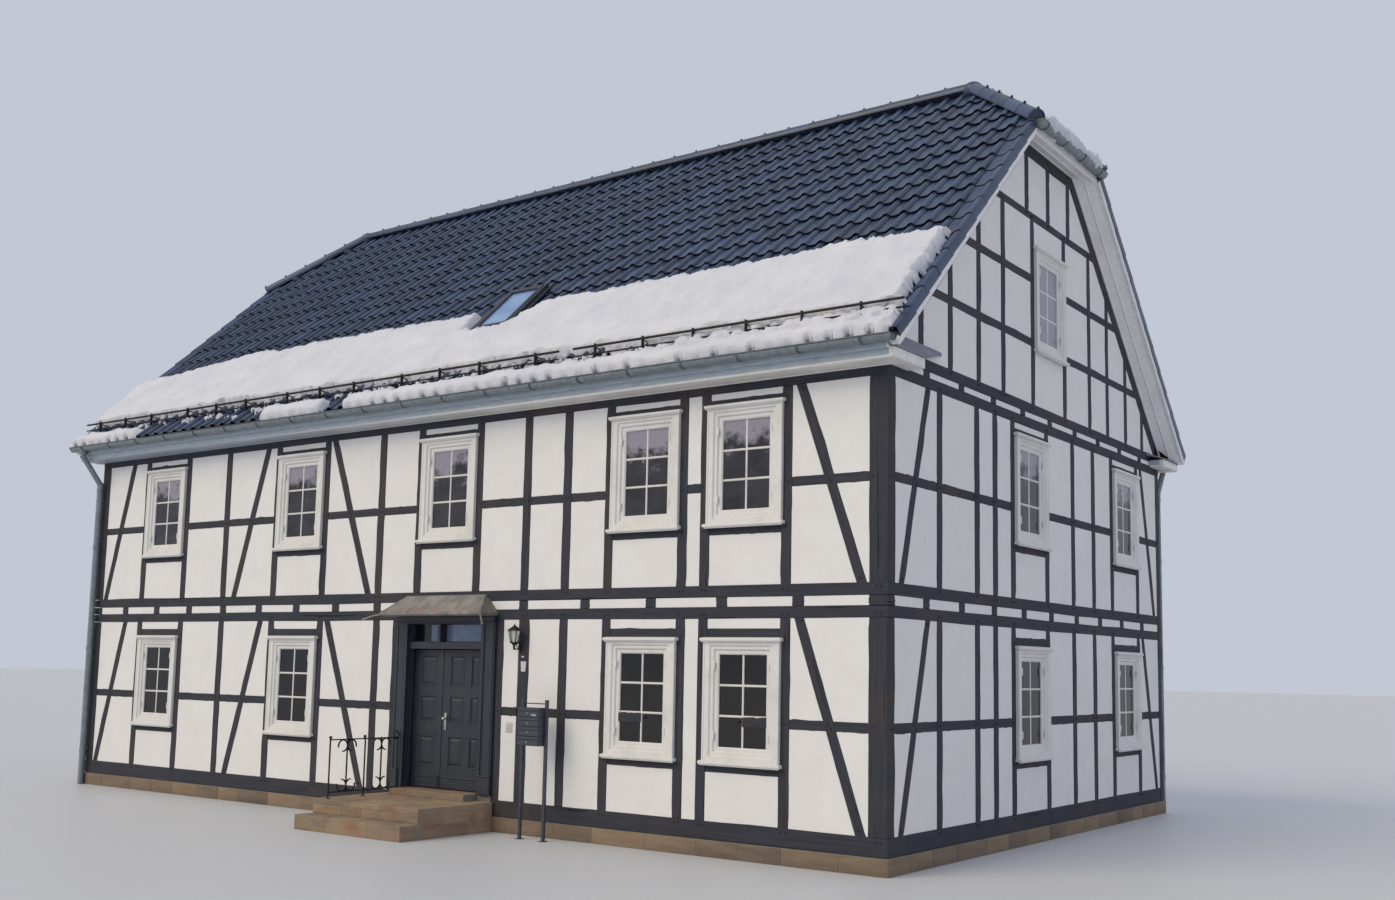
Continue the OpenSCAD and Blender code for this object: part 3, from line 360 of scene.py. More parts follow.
# Floors: boards laid across the joists of each storey, planed, nailed and waxed long ago.
# They only show from below and through the windows, so the cut nodes carry them.
BOARD_W, GAP_W = 0.16, 0.03
floor_boards, spot = new_finish("floor_boards", 0.5)
in_boards = sums("DIVIDE", put("SeparateXYZ", {"Vector": spot})["Y"], BOARD_W)
board = sums("FLOOR", in_boards)
shift = put("CombineXYZ", {"X": times(board, 3.7), "Z": board})["Vector"]
grain = noise(put("VectorMath", {0: spot, 1: shift}, operation="ADD")["Vector"], 3, 6, (0.5, 9, 1))
gap = sums("LESS_THAN", sums("FRACT", in_boards), GAP_W)
surface_of(floor_boards, mixed(gap, tones(grain, (120, 84, 52), (176, 134, 90)), shade(40, 28, 20)),
           between(grain, 0.4, 0.65), sums("SUBTRACT", grain, gap), 0.003)
finish_nodes(floor_boards, "ground_floor", "upper_floor", "attic_floor")


# Timber frames: squared oak painted anthracite, mortised, tenoned and pegged, with braces at the
# corners. Each member is a piece of its own, slightly wavy by axe and age, with its own grain.
TIMBER_T, WAVY, CHAMFER, BEVEL_IN_MASTER, STATIONS = 0.18, 0.0035, 0.005, 0.1, 10
master_timber = block((-1, -1, -1), (1, 1, 1))
work_on(master_timber)
bpy.ops.mesh.select_all(action="DESELECT")
done()
for edge in master_timber.data.edges:
    a, b = (master_timber.data.vertices[v].co for v in edge.vertices)
    edge.select = abs(a.x - b.x) > 1
bpy.ops.object.mode_set(mode="EDIT")
bpy.ops.mesh.bevel(offset=BEVEL_IN_MASTER, segments=1)
for cut in range(1, STATIONS):
    bpy.ops.mesh.select_all(action="SELECT")
    bpy.ops.mesh.bisect(plane_co=(-1 + 2 * cut / STATIONS, 0, 0), plane_no=(1, 0, 0))
done()
master_corners = np.array([v.co for v in master_timber.data.vertices])
master_faces = [tuple(p.vertices) for p in master_timber.data.polygons]
bpy.data.objects.remove(master_timber)
chance = np.random.default_rng(23)


def taken_in(values, half):
    """Corners of the master moved out to a half size, with the chamfer kept its true width."""
    return np.sign(values) * (half - (1 - np.abs(values)) / BEVEL_IN_MASTER * CHAMFER)


def timber(foot, head, wide, across, back=0.0):
    """One member in a wall's frame from foot to head, each (x, z); across is the way that its
    width is measured, so that a brace ends level. Gives corners, grain and the shade of the member."""
    foot, head, across = (np.array(p, float) for p in (foot, head, across))
    length = np.linalg.norm(head - foot)
    station = (master_corners[:, 0] + 1) / 2
    step = np.rint(station * STATIONS).astype(int)
    drift, swell, face = (chance.normal(0, wave, STATIONS + 1) for wave in (WAVY, WAVY * 0.7, 0.0012))
    side = taken_in(master_corners[:, 2], wide / 2)
    side = side + drift[step] + np.sign(side) * swell[step]
    deep = TIMBER_T / 2 + taken_in(master_corners[:, 1], TIMBER_T / 2)
    deep = deep + np.where(deep < TIMBER_T / 2, 1, -1) * (back + np.abs(face[step]))
    line = foot + station[:, None] * (head - foot) + side[:, None] * across
    lean = abs(float(np.dot(across, (head - foot) / length)))
    grain = np.c_[station * length + side * lean, side * math.sqrt(1 - lean * lean), deep]
    return np.c_[line[:, 0], deep, line[:, 1]], grain + chance.uniform(-40, 40, 3), chance.random()


def timber_piece(members, name, *stands_for):
    """Members in the walls' frames, as (side, member), as one piece of the house."""
    corners, grain, tints, faces = [], [], [], []
    for side, (own, own_grain, tint) in members:
        turn = np.array(at_wall(side))
        faces += [tuple(v + len(corners) * len(own) for v in f) for f in master_faces]
        corners.append(own @ turn[:3, :3].T + turn[:3, 3])
        grain.append(own_grain)
        tints.append(np.full(len(own), tint))
    made = bpy.data.meshes.new(name)
    made.from_pydata(np.concatenate(corners).tolist(), [], faces)
    layer = made.attributes.new("grain", "FLOAT_VECTOR", "POINT")
    layer.data.foreach_set("vector", np.concatenate(grain).ravel())
    mark(made, "tint", np.concatenate(tints))
    settle(linked(name, made), name, timber_paint, stands_for=stands_for)


UP, ALONG = (1, 0), (0, 1)      # a post is measured across x, a beam across z
BRACE_BACK, RAIL_BACK, RAIL_H = 0.0015, 0.003, 0.115
POST_W, BRACE_W, CORNER_W, JOIST_W = 0.145, 0.13, 0.24, 0.16
GROUND_Z, GROUND_TOP, UPPER_Z, UPPER_TOP = 0.42, 2.85, 3.25, 5.625
JOIST_LOW, JOIST_HIGH, PLATE_TOP, WALL_TOP, PLINTH_TOP = 2.99, 3.105, 5.765, 6.0, 0.2
WINDOW_POST, WINDOW_HALF = 0.595, 0.5225    # from a window's middle to its posts, and to their near faces
WINDOW_LOW, WINDOW_HIGH, UNDER_RAIL = 0.0275, 1.4925, 0.125     # its hole over its foot, the rail below it
STOUT_X, STOUT_MORE = 2.46, 0.04            # the post beside the door is a little wider
peg_places = []


def pegs(side, *spots):
    """Oak pegs driven through the joints, their heads standing just proud of the face."""
    for x, z in spots:
        x, z = x + chance.normal(0, 0.006), z + chance.normal(0, 0.006)
        peg_places.append(at_wall(side) @ Matrix.Translation((x, 0, z))
                          @ Matrix.Rotation(chance.uniform(0, 1), 4, "Y"))


def post(side, x, z0, z1, wide=POST_W):
    pegs(side, (x - 0.03, z0 - 0.05), (x + 0.03, z0 - 0.05), (x - 0.03, z1 + 0.05), (x + 0.03, z1 + 0.05))
    return side, timber((x, z0), (x, z1), wide, UP)


def beam(side, x0, x1, z0, z1, back=0.0):
    middle = (z0 + z1) / 2
    return side, timber((x0, middle), (x1, middle), z1 - z0, ALONG, back)


def storey(side, z0, z1, rails, rail_up, posts, windows, braces, window_up, lintel):
    """The members of one storey between its sill beam and its plate, rails cut in between the posts."""
    members = []
    foot, head = z0 + window_up + WINDOW_LOW, z0 + window_up + WINDOW_HIGH
    uprights = sorted(posts + [w + s * WINDOW_POST for w in windows for s in (-1, 1)])
    for x in uprights:
        stout = side == "front" and z0 < 1 and abs(x - STOUT_X) < 0.01
        members.append(post(side, x + 0.035, z0, z1, POST_W + STOUT_MORE) if stout else post(side, x, z0, z1))
    for x in windows:
        for low, high in ((foot - UNDER_RAIL, foot), (head, min(head + lintel, z1))):
            members.append(beam(side, x - WINDOW_HALF, x + WINDOW_HALF, low, high, RAIL_BACK))
        for s in (-1, 1):
            pegs(side, (x + s * WINDOW_POST, foot - 0.06), (x + s * WINDOW_POST, head + 0.045))
    for a, b in braces:
        wide = BRACE_W / math.cos(math.atan2(b - a, z1 - z0))
        members.append((side, timber((a, z0), (b, z1), wide, UP, BRACE_BACK)))
        middle = a + (b - a) * (rail_up + 0.057) / (z1 - z0)
        pegs(side, (middle - 0.02, z0 + rail_up + 0.08), (middle + 0.02, z0 + rail_up + 0.035),
             (a + (b - a) * 0.03, z0 + 0.05), (b - (b - a) * 0.03, z1 - 0.05))
    for x0, x1 in rails:
        stops = [x0] + [x for x in uprights if x0 < x < x1] + [x1]
        for left, right in zip(stops, stops[1:]):
            if any(left < w < right for w in windows):
                continue
            left = left + POST_W / 2 if left != x0 else left
            right = right - POST_W / 2 if right != x1 else right
            if right - left > 0.05:
                members.append(beam(side, left, right, z0 + rail_up, z0 + rail_up + RAIL_H, RAIL_BACK))
                pegs(side, (left - 0.05, z0 + rail_up + 0.06), (right + 0.05, z0 + rail_up + 0.06))
    return members


# the front, measured from its right-hand corner
FRONT_WINDOWS = [HALF_L - u for u in (1.95, 3.485, 7.055, 10.355, 13.97)]
FRONT_POSTS = [HALF_L - u for u in (4.81, 5.54, 8.48, 12.25)]
FRONT_BRACES = [(HALF_L - a, HALF_L - b) for a, b in
                ((0.335, 1.165), (8.7, 9.6), (11.96, 11.23), (15.68, 15.01))]
DOOR_X, DOORWAY_W, DOOR_POST = 1.0, 1.94, 1.0425
FRONT_JOISTS = ([HALF_L - 1.18 - 1.09 * i for i in range(5)] + [HALF_L - 6.52, HALF_L - 7.5]
                + [HALF_L - 8.48 - 0.935 * i for i in range(8)])
GROUND_FIT, UPPER_FIT = (1.135, 0.68, 0.135), (1.155, 0.715, 0.09)      # rail and sill up, lintel's height


def long_wall(side, doorway):
    """All members of a long wall."""
    windows = [w for w in FRONT_WINDOWS if not (doorway and abs(w - DOOR_X) < 0.5)]
    door_l, door_r = DOOR_X - DOORWAY_W / 2, DOOR_X + DOORWAY_W / 2
    sills = [(-HALF_L, door_l), (door_r, HALF_L)] if doorway else [(-HALF_L, HALF_L)]
    door_posts = [DOOR_X - DOOR_POST, DOOR_X + DOOR_POST] if doorway else []
    members = [beam(side, a, b, PLINTH_TOP, GROUND_Z) for a, b in sills]
    for z0, z1 in ((GROUND_Z, GROUND_TOP), (UPPER_Z, UPPER_TOP)):
        for s in (-1, 1):
            members.append(post(side, s * (HALF_L - CORNER_W / 2), z0, z1, CORNER_W))
    inner = HALF_L - CORNER_W
    ground_rails = [(6.05, inner), (door_r if doorway else -inner, 4.515)]
    if doorway:
        ground_rails.append((-inner, door_l))
    up, window_up, lintel = GROUND_FIT
    members += storey(side, GROUND_Z, GROUND_TOP, ground_rails, up, FRONT_POSTS + door_posts,
                      windows, FRONT_BRACES, window_up, lintel)
    for z0, z1 in ((GROUND_TOP, JOIST_LOW), (JOIST_HIGH, UPPER_Z)):
        members.append(beam(side, -HALF_L, HALF_L, z0, z1))
    for x in FRONT_JOISTS + [HALF_L - CORNER_W / 2, CORNER_W / 2 - HALF_L]:
        wide = JOIST_W if abs(x) < HALF_L - JOIST_W else CORNER_W
        members.append((side, timber((x, JOIST_LOW), (x, JOIST_HIGH), wide, UP)))
    up, window_up, lintel = UPPER_FIT
    members += storey(side, UPPER_Z, UPPER_TOP, [(-inner, inner)], up, FRONT_POSTS, FRONT_WINDOWS,
                      FRONT_BRACES, window_up, lintel)
    return members + [beam(side, -HALF_L, HALF_L, z0, z1)
                      for z0, z1 in ((UPPER_TOP, PLATE_TOP), (PLATE_TOP, WALL_TOP))]


# a gable, measured from its left-hand corner
GABLE_WINDOWS = [v - HALF_D for v in (4.12, 7.95)]
GABLE_POSTS = [v - HALF_D for v in (1.32, 2.39, 2.95, 5.71, 6.55)]
GABLE_BRACES = [(a - HALF_D, b - HALF_D) for a, b in ((0.34, 1.01), (9.36, 8.76))]
GABLE_JOISTS = [0.97 * i - HALF_D for i in range(1, 10)]
SLOPE, EAVE_Z = math.radians(43.5), 6.005
GABLE_HALF, TOP_HALF, TOP_Z, RAFTER_W = 4.67, 0.95, 9.706, 0.19
SECOND_LOW, SECOND_HIGH, THIRD_TOP, KING_TOP = 5.835, 5.975, 8.615, 9.6


def gable_wall(side):
    """All members of a gable, with the half-hipped triangle over it."""
    g = GABLE_HALF
    members = [beam(side, -g, g, PLINTH_TOP, GROUND_Z)]
    for z0, z1, (up, window_up, lintel) in ((GROUND_Z, GROUND_TOP, GROUND_FIT),
                                            (UPPER_Z, UPPER_TOP, UPPER_FIT)):
        members += storey(side, z0, z1, [(-g, g)], up, GABLE_POSTS, GABLE_WINDOWS, GABLE_BRACES,
                          window_up, lintel)
    for z0, z1 in ((GROUND_TOP, JOIST_LOW), (JOIST_HIGH, UPPER_Z), (UPPER_TOP, PLATE_TOP),
                   (SECOND_LOW, SECOND_HIGH)):
        members.append(beam(side, -g, g, z0, z1))
    for x in GABLE_JOISTS:
        for z0, z1 in ((JOIST_LOW, JOIST_HIGH), (PLATE_TOP, SECOND_LOW)):
            members.append((side, timber((x, z0), (x, z1), JOIST_W, UP)))
    for z in (6.795, 7.705, THIRD_TOP):
        reach = min(g, HALF_D - (z + RAIL_H / 2 - EAVE_Z) / math.tan(SLOPE) - 0.13)
        for a, b in [(-reach, -WINDOW_HALF), (WINDOW_HALF, reach)] if z < 8 else [(-reach, reach)]:
            members.append(beam(side, a, b, z, z + RAIL_H, RAIL_BACK))
        pegs(side, (-0.6, z + 0.05), (0.6, z + 0.05))
    short = [(half, SECOND_HIGH, THIRD_TOP) for half in (WINDOW_POST, 1.61, 2.39, 3.23, 4.03)]
    for half, foot, top in short + [(0.0, THIRD_TOP + RAIL_H, KING_TOP),
                                    (0.78, THIRD_TOP + RAIL_H, KING_TOP)]:
        roof = EAVE_Z + math.tan(SLOPE) * (HALF_D - half - 0.07)
        for s in ((-1, 1) if half else (1,)):
            members.append(post(side, s * half, foot, min(top, roof), 0.13))
    lift = RAFTER_W / 2 / math.cos(SLOPE)
    for s in (-1, 1):
        members.append((side, timber((s * g, EAVE_Z + math.tan(SLOPE) * 0.18 - lift),
                                     (s * TOP_HALF, TOP_Z - lift), 2 * lift, ALONG, -0.0005)))
    return members + [beam(side, -TOP_HALF, TOP_HALF, TOP_Z - RAFTER_W, TOP_Z)]


timber_paint, spot = new_finish("timber_paint", 0.7)
timber_paint.node_tree.nodes["Principled BSDF"].inputs["Specular IOR Level"].default_value = 0.25
along_grain = carried(timber_paint, "grain", "Vector")
streaks = noise(along_grain, 1, 7, (1.1, 34, 34), 0.6)
cracks = noise(along_grain, 1, 3, (0.5, 22, 22))
paint = ramp(streaks, (0.25, shade(42, 43, 51)), (0.5, shade(59, 60, 69)), (0.8, shade(75, 75, 86)))
paint = mixed(between(carried(timber_paint, "tint"), 0.0, 0.45), paint, shade(48, 52, 63))
paint = patched(paint, noise(spot, 1.3, 5), 0.52, 0.68, 0.55, (78, 68, 62))
split = ramp(cracks, (0.29, grey(0)), (0.33, grey(1)))
surface_of(timber_paint, mixed(split, shade(24, 23, 26), paint), between(streaks, 0.5, 0.85),
           sums("ADD", times(streaks, 0.35), split), 0.006, 0.55)

timber_piece(long_wall("front", True), "front_timbers", "front_left_frame", "front_right_frame",
             "front_upper_frame")
timber_piece(long_wall("back", False), "back_timbers", "back_frame")
timber_piece(gable_wall("right"), "right_gable_timbers", "right_gable_frame")
timber_piece(gable_wall("left"), "left_gable_timbers", "left_gable_frame")

PEG_R, PEG_PROUD, PEG_DEEP = 0.013, 0.006, 0.01
bpy.ops.object.select_all(action="DESELECT")
bpy.ops.mesh.primitive_cylinder_add(vertices=7, radius=PEG_R, depth=PEG_PROUD + PEG_DEEP,
                                    location=(0, 0.005 - PEG_PROUD / 2, 0), rotation=(math.pi / 2, 0, 0))
peg_heads = repeat(fixed(bpy.context.object), peg_places, None, [chance.random() for _ in peg_places])
peg_oak = coat("peg_oak", 0.8, 0, (90, 3), (28, 27, 29), (52, 47, 45), None, 0.002, low=0.35, high=0.65)
settle(peg_heads, "frame_pegs", peg_oak)


# Plaster panels: lime plaster floated smooth on the brick or clay between the timbers and limewashed
# white. It is a little uneven, with a fine crack here and there.
plaster, spot = new_finish("white_plaster", 0.9)
trowel = noise(spot, 3.0, 4)
cell = put("TexVoronoi", {"Vector": spot, "Scale": 0.55}, feature="DISTANCE_TO_EDGE")["Distance"]
wander = sums("ADD", cell, times(noise(spot, 7, 4), 0.25))
hair = ramp(wander, (0.122, grey(1)), (0.125, grey(0.55)), (0.128, grey(1)))
white = mixed(0.15, tones(trowel, (231, 229, 228), (236, 235, 234)), hair, "MULTIPLY")
surface_of(plaster, white, None, sums("ADD", times(trowel, 2.0), noise(spot, 170, 3)), 0.002, 0.35)
finish_nodes(plaster, "front_left_infill", "front_right_infill", "front_upper_infill", "back_infill",
             "right_gable_infill", "left_gable_infill")


# Windows: pine painted cream white. A casing of boards laps over the wall, with a moulded head and
# sill nailed on; the frame, casement and its thin putty-glazed bars step back one behind the other.
CASING_W, CASING_H, CASING_T = 1.10, 1.52, 0.045
LAP, CASING_BOARD, FRAME_BOARD, SASH_BOARD = 0.0275, 0.105, 0.048, 0.055
SASH_BACK, SASH_T, FRAME_T, BAR_W, BAR_LAP, BAR_EDGE = 0.012, 0.046, 0.11, 0.028, 0.01, 0.007
GLASS_W, GLASS_H, GLASS_Z = 0.684, 1.104, 0.208
DRIP_H, DRIP_OUT, DRIP_SIDE, DRIP_LAP = 0.045, 0.085, 0.03, 0.006
BUTT_X, BUTT_W, BUTT_H = 0.394, 0.012, 0.05
CASING_STEPS = ((0.004, 0.004), (0.020, 0), (0.004, -0.006), (0.066, 0), (0.006, -0.0075), (0.005, -0.012),
                (0.001, -0.001), (0.036, 0), (0.006, -0.005), (0.005, -0.018), (0.001, 0), (0.038, 0),
                (0.016, -0.012))


def pick_faces(piece, test):
    """Only the faces whose middle and normal pass the test are picked, in edit mode."""
    if bpy.context.mode != "OBJECT":
        done()
    work_on(piece)
    bpy.ops.mesh.select_mode(type="FACE")
    bpy.ops.mesh.select_all(action="DESELECT")
    done()
    for face in piece.data.polygons:
        face.select = bool(test(face.center, face.normal))
    bpy.ops.object.mode_set(mode="EDIT")


def stepped(*steps, **how):
    """The picked faces are inset again and again, each time (width, depth)."""
    for width, depth in steps:
        bpy.ops.mesh.inset(thickness=width, depth=depth, **how)


def moulding(low, high, nose, slope):
    """A weathered board: its top falls outwards and its edges are rounded."""
    piece = block(low, high)
    for v in piece.data.vertices:
        if v.co.y < (low[1] + high[1]) / 2 and v.co.z > (low[2] + high[2]) / 2:
            v.co.z -= slope
    return bevelled(piece, nose, 2)


def window_master():
    """One window, its foot at z = 0, the wall's face at y = 0."""
    ring = block((-CASING_W / 2, -CASING_T, 0), (CASING_W / 2, 0, CASING_H))
    pick_faces(ring, lambda c, n: n.y < -0.9)
    stepped(*CASING_STEPS)
    bpy.ops.mesh.delete(type="FACE")
    pick_faces(ring, lambda c, n: n.y > 0.9 and abs(c.y) < 1e-4)
    stepped((LAP, 0))
    bpy.ops.mesh.extrude_region_move(TRANSFORM_OT_translate={"value": (0, FRAME_T, 0)})
    stepped((CASING_BOARD - LAP + FRAME_BOARD, 0), (0.001, -(FRAME_T - SASH_BACK - SASH_T)),
            (SASH_BOARD - 0.001, 0))
    bpy.ops.mesh.delete(type="FACE")
    bpy.ops.mesh.select_all(action="DESELECT")
    bpy.ops.mesh.select_mode(type="EDGE")
    bpy.ops.mesh.select_non_manifold(extend=False)
    bpy.ops.mesh.bridge_edge_loops()
    bpy.ops.mesh.select_all(action="SELECT")
    bpy.ops.mesh.normals_make_consistent(inside=False)
    done()
    front, back = SASH_BACK + 0.008, SASH_BACK + SASH_T
    parts = [ring, block((-BAR_W / 2, front, GLASS_Z - BAR_LAP),
                         (BAR_W / 2, back, GLASS_Z + GLASS_H + BAR_LAP), BAR_EDGE)]
    for third in (1, 2):
        z = GLASS_Z + GLASS_H * third / 3
        parts.append(block((-GLASS_W / 2 - BAR_LAP, front + 0.001, z - BAR_W / 2),
                           (GLASS_W / 2 + BAR_LAP, back, z + BAR_W / 2), BAR_EDGE))
    half, lap = CASING_W / 2 + DRIP_SIDE, -CASING_T + DRIP_LAP
    for z in (0.0, CASING_H - DRIP_H):
        parts += [moulding((-half, -DRIP_OUT, z), (half, lap, z + DRIP_H), 0.006, 0.012),
                  block((-half + 0.012, -DRIP_OUT + 0.016, z - 0.016), (half - 0.012, lap, z + 0.004), 0.005)]
        parts += [block((s * half, -CASING_T, z), (s * CASING_W / 2, 0, z + DRIP_H - 0.004), 0.004)
                  for s in (-1, 1)]
    for s in (-1, 1):
        for z in (0.34, 1.18):
            parts.append(block((s * BUTT_X - BUTT_W, -0.031, z - BUTT_H),
                               (s * BUTT_X + BUTT_W, -0.02, z + BUTT_H), 0.003))
    return joined(parts)


GROUND_SILL, UPPER_SILL, ATTIC_SILL = 1.10, 3.965, 6.735
BACK_AT = [(w, z) for z in (GROUND_SILL, UPPER_SILL) for w in FRONT_WINDOWS]
FRONT_AT = [(w, z) for w, z in BACK_AT if z > GROUND_SILL or abs(w - DOOR_X) > 0.5]
GABLE_AT = [(w, z) for z in (GROUND_SILL, UPPER_SILL) for w in GABLE_WINDOWS] + [(0.0, ATTIC_SILL)]
WINDOW_AT = {side: [(z, at_wall(side) @ Matrix.Translation((x, 0, z))) for x, z in spots] for side, spots in
             (("front", FRONT_AT), ("back", BACK_AT), ("right", GABLE_AT), ("left", GABLE_AT))}

cream_paint = coat("cream_paint", 0.45, 0, (12, 4, (5, 5, 1)), (220, 218, 215), (231, 230, 228), (0.35, 0.6),
                   0.0015, 0.5, dirt=((2.4, 5), 0.5, 0.78, 0.5, (196, 191, 184)))
for side, spots in WINDOW_AT.items():
    settle(repeat(window_master(), [place for z, place in spots], 35), side + "_windows", cream_paint,
           stands_for=(side + "_window_frames",))


# Window glass: drawn panes, a little uneven, puttied into the bars. The dark rooms behind are painted shade
# in the glass;
# the upper panes carry a painted reflection of the pale winter sky and the lower ones dark, smoky painted
# reflections.
PANE_T = 0.014


def climb(value, start, end):
    """0 before the start and 1 past the end."""
    return put("MapRange", {"Value": value, "From Min": start, "From Max": end})["Result"]


def glass_painted_with_reflections(name, sky_from, sky_to, dark, less_dark, sky):
    """Painted shade of the unlit room, with a painted sky reflection rising between two heights and painted
    branch reflections in smoky streaks.
    """
    material, spot = new_finish(name, 0.06)
    swirl = noise(spot, 2.6, 6, (1, 1, 1.6), 0.65)
    reflected_twigs = noise(spot, 9, 7, (1.4, 1.4, 0.8), 0.7)
    lift = climb(put("SeparateXYZ", {"Vector": spot})["Z"], sky_from, sky_to)
    # painted reflections of bare branches, in smoky streaks, over the painted shade of the room
    painted_branch_reflections = sums("SUBTRACT", sums("ADD", times(swirl, 1.1), times(reflected_twigs, 0.5)), 0.95)
    glass = mixed(ramp(sums("ADD", lift, painted_branch_reflections), (0.42, grey(0)), (0.62, grey(1))),
                  tones(swirl, dark, less_dark), shade(*sky))
    return surface_of(material, glass, between(swirl, 0.03, 0.10), swirl, 0.01, 0.15)


# The upper panes take a pale painted sky reflection; the ground-floor panes a darker painted room and a dim
# painted sky reflection.
upper_glass = glass_painted_with_reflections("upper_glass", 4.3, 5.4, (28, 30, 34), (62, 60, 66), (150, 146, 160))
ground_glass = glass_painted_with_reflections("ground_glass", 1.2, 4.0, (8, 8, 10), (22, 22, 25), (70, 80, 98))
for side, spots in WINDOW_AT.items():
    for level, finish in (("ground", ground_glass), ("upper", upper_glass)):
        y0 = SASH_BACK + (SASH_T - PANE_T) / 2
        pane = block((-GLASS_W / 2, y0, GLASS_Z), (GLASS_W / 2, y0 + PANE_T, GLASS_Z + GLASS_H), 0.001)
        panes = repeat(pane, [place for z, place in spots if (z > GROUND_SILL) == (level == "upper")])
        settle(panes, f"{side}_{level}_panes", finish, stands_for=(side + "_window_glass",))


# Roof tiles: glazed blue-black clay pantiles with a round roll down the right side that laps over the
# next one. Each course hangs on its batten and lies on the one below; a verge tile has a flap.
HIP_SLOPE, ROOF_T, EAVE_OUT, VERGE_OUT = math.radians(39), 0.34, 0.455, 0.34
EAVE_Y, VERGE_X, RIDGE_X, HIP_Y = 5.305, 8.34, 6.848, 1.273
COLUMNS, HIP_COLUMNS, COURSES, HIP_COURSES = 63, 10, 16, 5
TILE_W = 2 * VERGE_X / COLUMNS
COURSE, TILE_L, TILE_THICK = 0.4489, 0.53, 0.014
TAIL_LIFT, HEAD_DROP, LIP, LIP_DROP = 0.020, 0.022, 0.02, 0.005
FLAP_LIFT, FLAP_DROP, FLAP_FOOT = 0.008, 0.010, -0.085
TILE_SINK = 0.056       # from the planned outer skin down to the trough of a tile
PAN = ((0.0, 0.004), (0.014, 0.001), (0.05, -0.003), (0.09, -0.003), (0.132, 0.006), (0.160, 0.021),
       (0.188, 0.039), (0.212, 0.045), (0.236, 0.041), (0.256, 0.025), (0.268, 0.003))
RIGHT_FLAP = PAN[:8] + ((0.236, 0.046), (0.256, 0.042), (0.2646, 0.030), (0.2647, FLAP_FOOT))
LEFT_FLAP = ((0.0, FLAP_FOOT), (0.0001, 0.030), (0.01, 0.040), (0.034, 0.038), (0.06, 0.016),
             (0.09, 0.0)) + PAN[4:]
ROOF_EDGE_Z = EAVE_Z - math.tan(SLOPE) * EAVE_OUT + ROOF_T / math.cos(SLOPE)
HIP_EDGE_Z = TOP_Z - math.tan(HIP_SLOPE) * VERGE_OUT + ROOF_T / math.cos(HIP_SLOPE)
chance = np.random.default_rng(5)


def thickened(piece, thick, side=-1):
    """A sheet gets its thickness on its inner side (-1), half on each (0) or on its outer side (1)."""
    only(piece)
    solid = piece.modifiers.new("thickness", "SOLIDIFY")
    solid.thickness, solid.offset = thick, side
    bpy.ops.object.modifier_apply(modifier="thickness")
    return piece


def tile_master(profile):
    """One pantile, its tail at the origin, x across and y up the slope, z out of the roof."""
    bpy.ops.object.select_all(action="DESELECT")
    bpy.ops.mesh.primitive_grid_add(x_subdivisions=len(profile) - 1, y_subdivisions=2, size=1)
    tile = bpy.context.object
    lift, drop = (TAIL_LIFT, HEAD_DROP) if profile is PAN else (FLAP_LIFT, FLAP_DROP)
    rows = ((0.0, lift - LIP_DROP), (LIP, lift), (TILE_L, -drop))
    for i, v in enumerate(sorted(tile.data.vertices, key=lambda v: (round(v.co.y, 3), v.co.x))):
        x, z = profile[i % len(profile)]
        y, over = rows[i // len(profile)]
        v.co = (x, y, z + over)
    thickened(tile, TILE_THICK)
    # The mark is 0 along the tail's edge and the joints beside the roll, where the glaze paints the gaps'
    # shadow dark, and 1 elsewhere.
    unshaded_from = 0.008 if profile[0][1] > FLAP_FOOT else -1
    unshaded_to = 0.262 if profile[-1][1] > FLAP_FOOT else 1
    mark(tile.data, "clear_of_painted_shade", [float(v.co.y > 0.004 and unshaded_from <= v.co.x <= unshaded_to)
                             for v in tile.data.vertices])
    return tile


def slope_matrix(at, turn, pitch):
    """A place on a roof face: x along its eave, y up the slope and z out of it."""
    return Matrix.Translation(at) @ Matrix.Rotation(turn, 4, "Z") @ Matrix.Rotation(pitch, 4, "X")


def on_slope(s, x, b, deep=0):
    """A point under the skin of a long roof face: b behind the wall's face, deep square to the slope."""
    return x, -s * (HALF_D - b), EAVE_Z + math.tan(SLOPE) * b + (ROOF_T - deep) / math.cos(SLOPE)


def cut_away(piece, through, normal):
    """Everything on the normal's side of a plane is sawn off."""
    work_on(piece)
    bpy.ops.mesh.bisect(plane_co=through, plane_no=normal, clear_outer=True, use_fill=False)
    done()


def tiled(profile, columns, courses, base):
    """Tiles of one kind on a roof face, each a hair out of true, with a shade for each."""
    places, tints = [], []
    for row in range(courses):
        for column in columns:
            dx, dy, dz = chance.normal(0, 0.0015), chance.normal(0, 0.003), abs(chance.normal(0, 0.0015))
            places.append(base @ Matrix.Translation((column * TILE_W + dx, row * COURSE + dy, dz - TILE_SINK))
                          @ Matrix.Rotation(chance.normal(0, 0.004), 4, "Z")
                          @ Matrix.Rotation(chance.normal(0, 0.008), 4, "Y"))
            tints.append(chance.random())
    return repeat(tile_master(profile), places, 40, tints)


roof_glaze, spot = new_finish("roof_glaze", 0.28)
bloom = noise(spot, 5, 5)
glaze = ramp(carried(roof_glaze, "tint"), (0, shade(37, 50, 74)), (0.5, shade(48, 63, 92)),
             (1, shade(61, 77, 111)))
glaze = patched(glaze, bloom, 0.4, 0.7, 0.45, (73, 90, 122))
glaze = patched(glaze, noise(spot, 0.5, 4), 0.5, 0.75, 0.4, (56, 63, 80))
# Painted shade: the glaze turns near black at the tiles' tails and joints, standing in for the shadow in the
# gaps.
glaze = mixed(ramp(carried(roof_glaze, "clear_of_painted_shade"), (0.1, grey(1)), (0.75, grey(0))), glaze, shade(17, 21, 34))
surface_of(roof_glaze, glaze, between(bloom, 0.2, 0.5),
           sums("ADD", bloom, times(noise(spot, 60, 4), 0.3)), 0.004, 0.4)

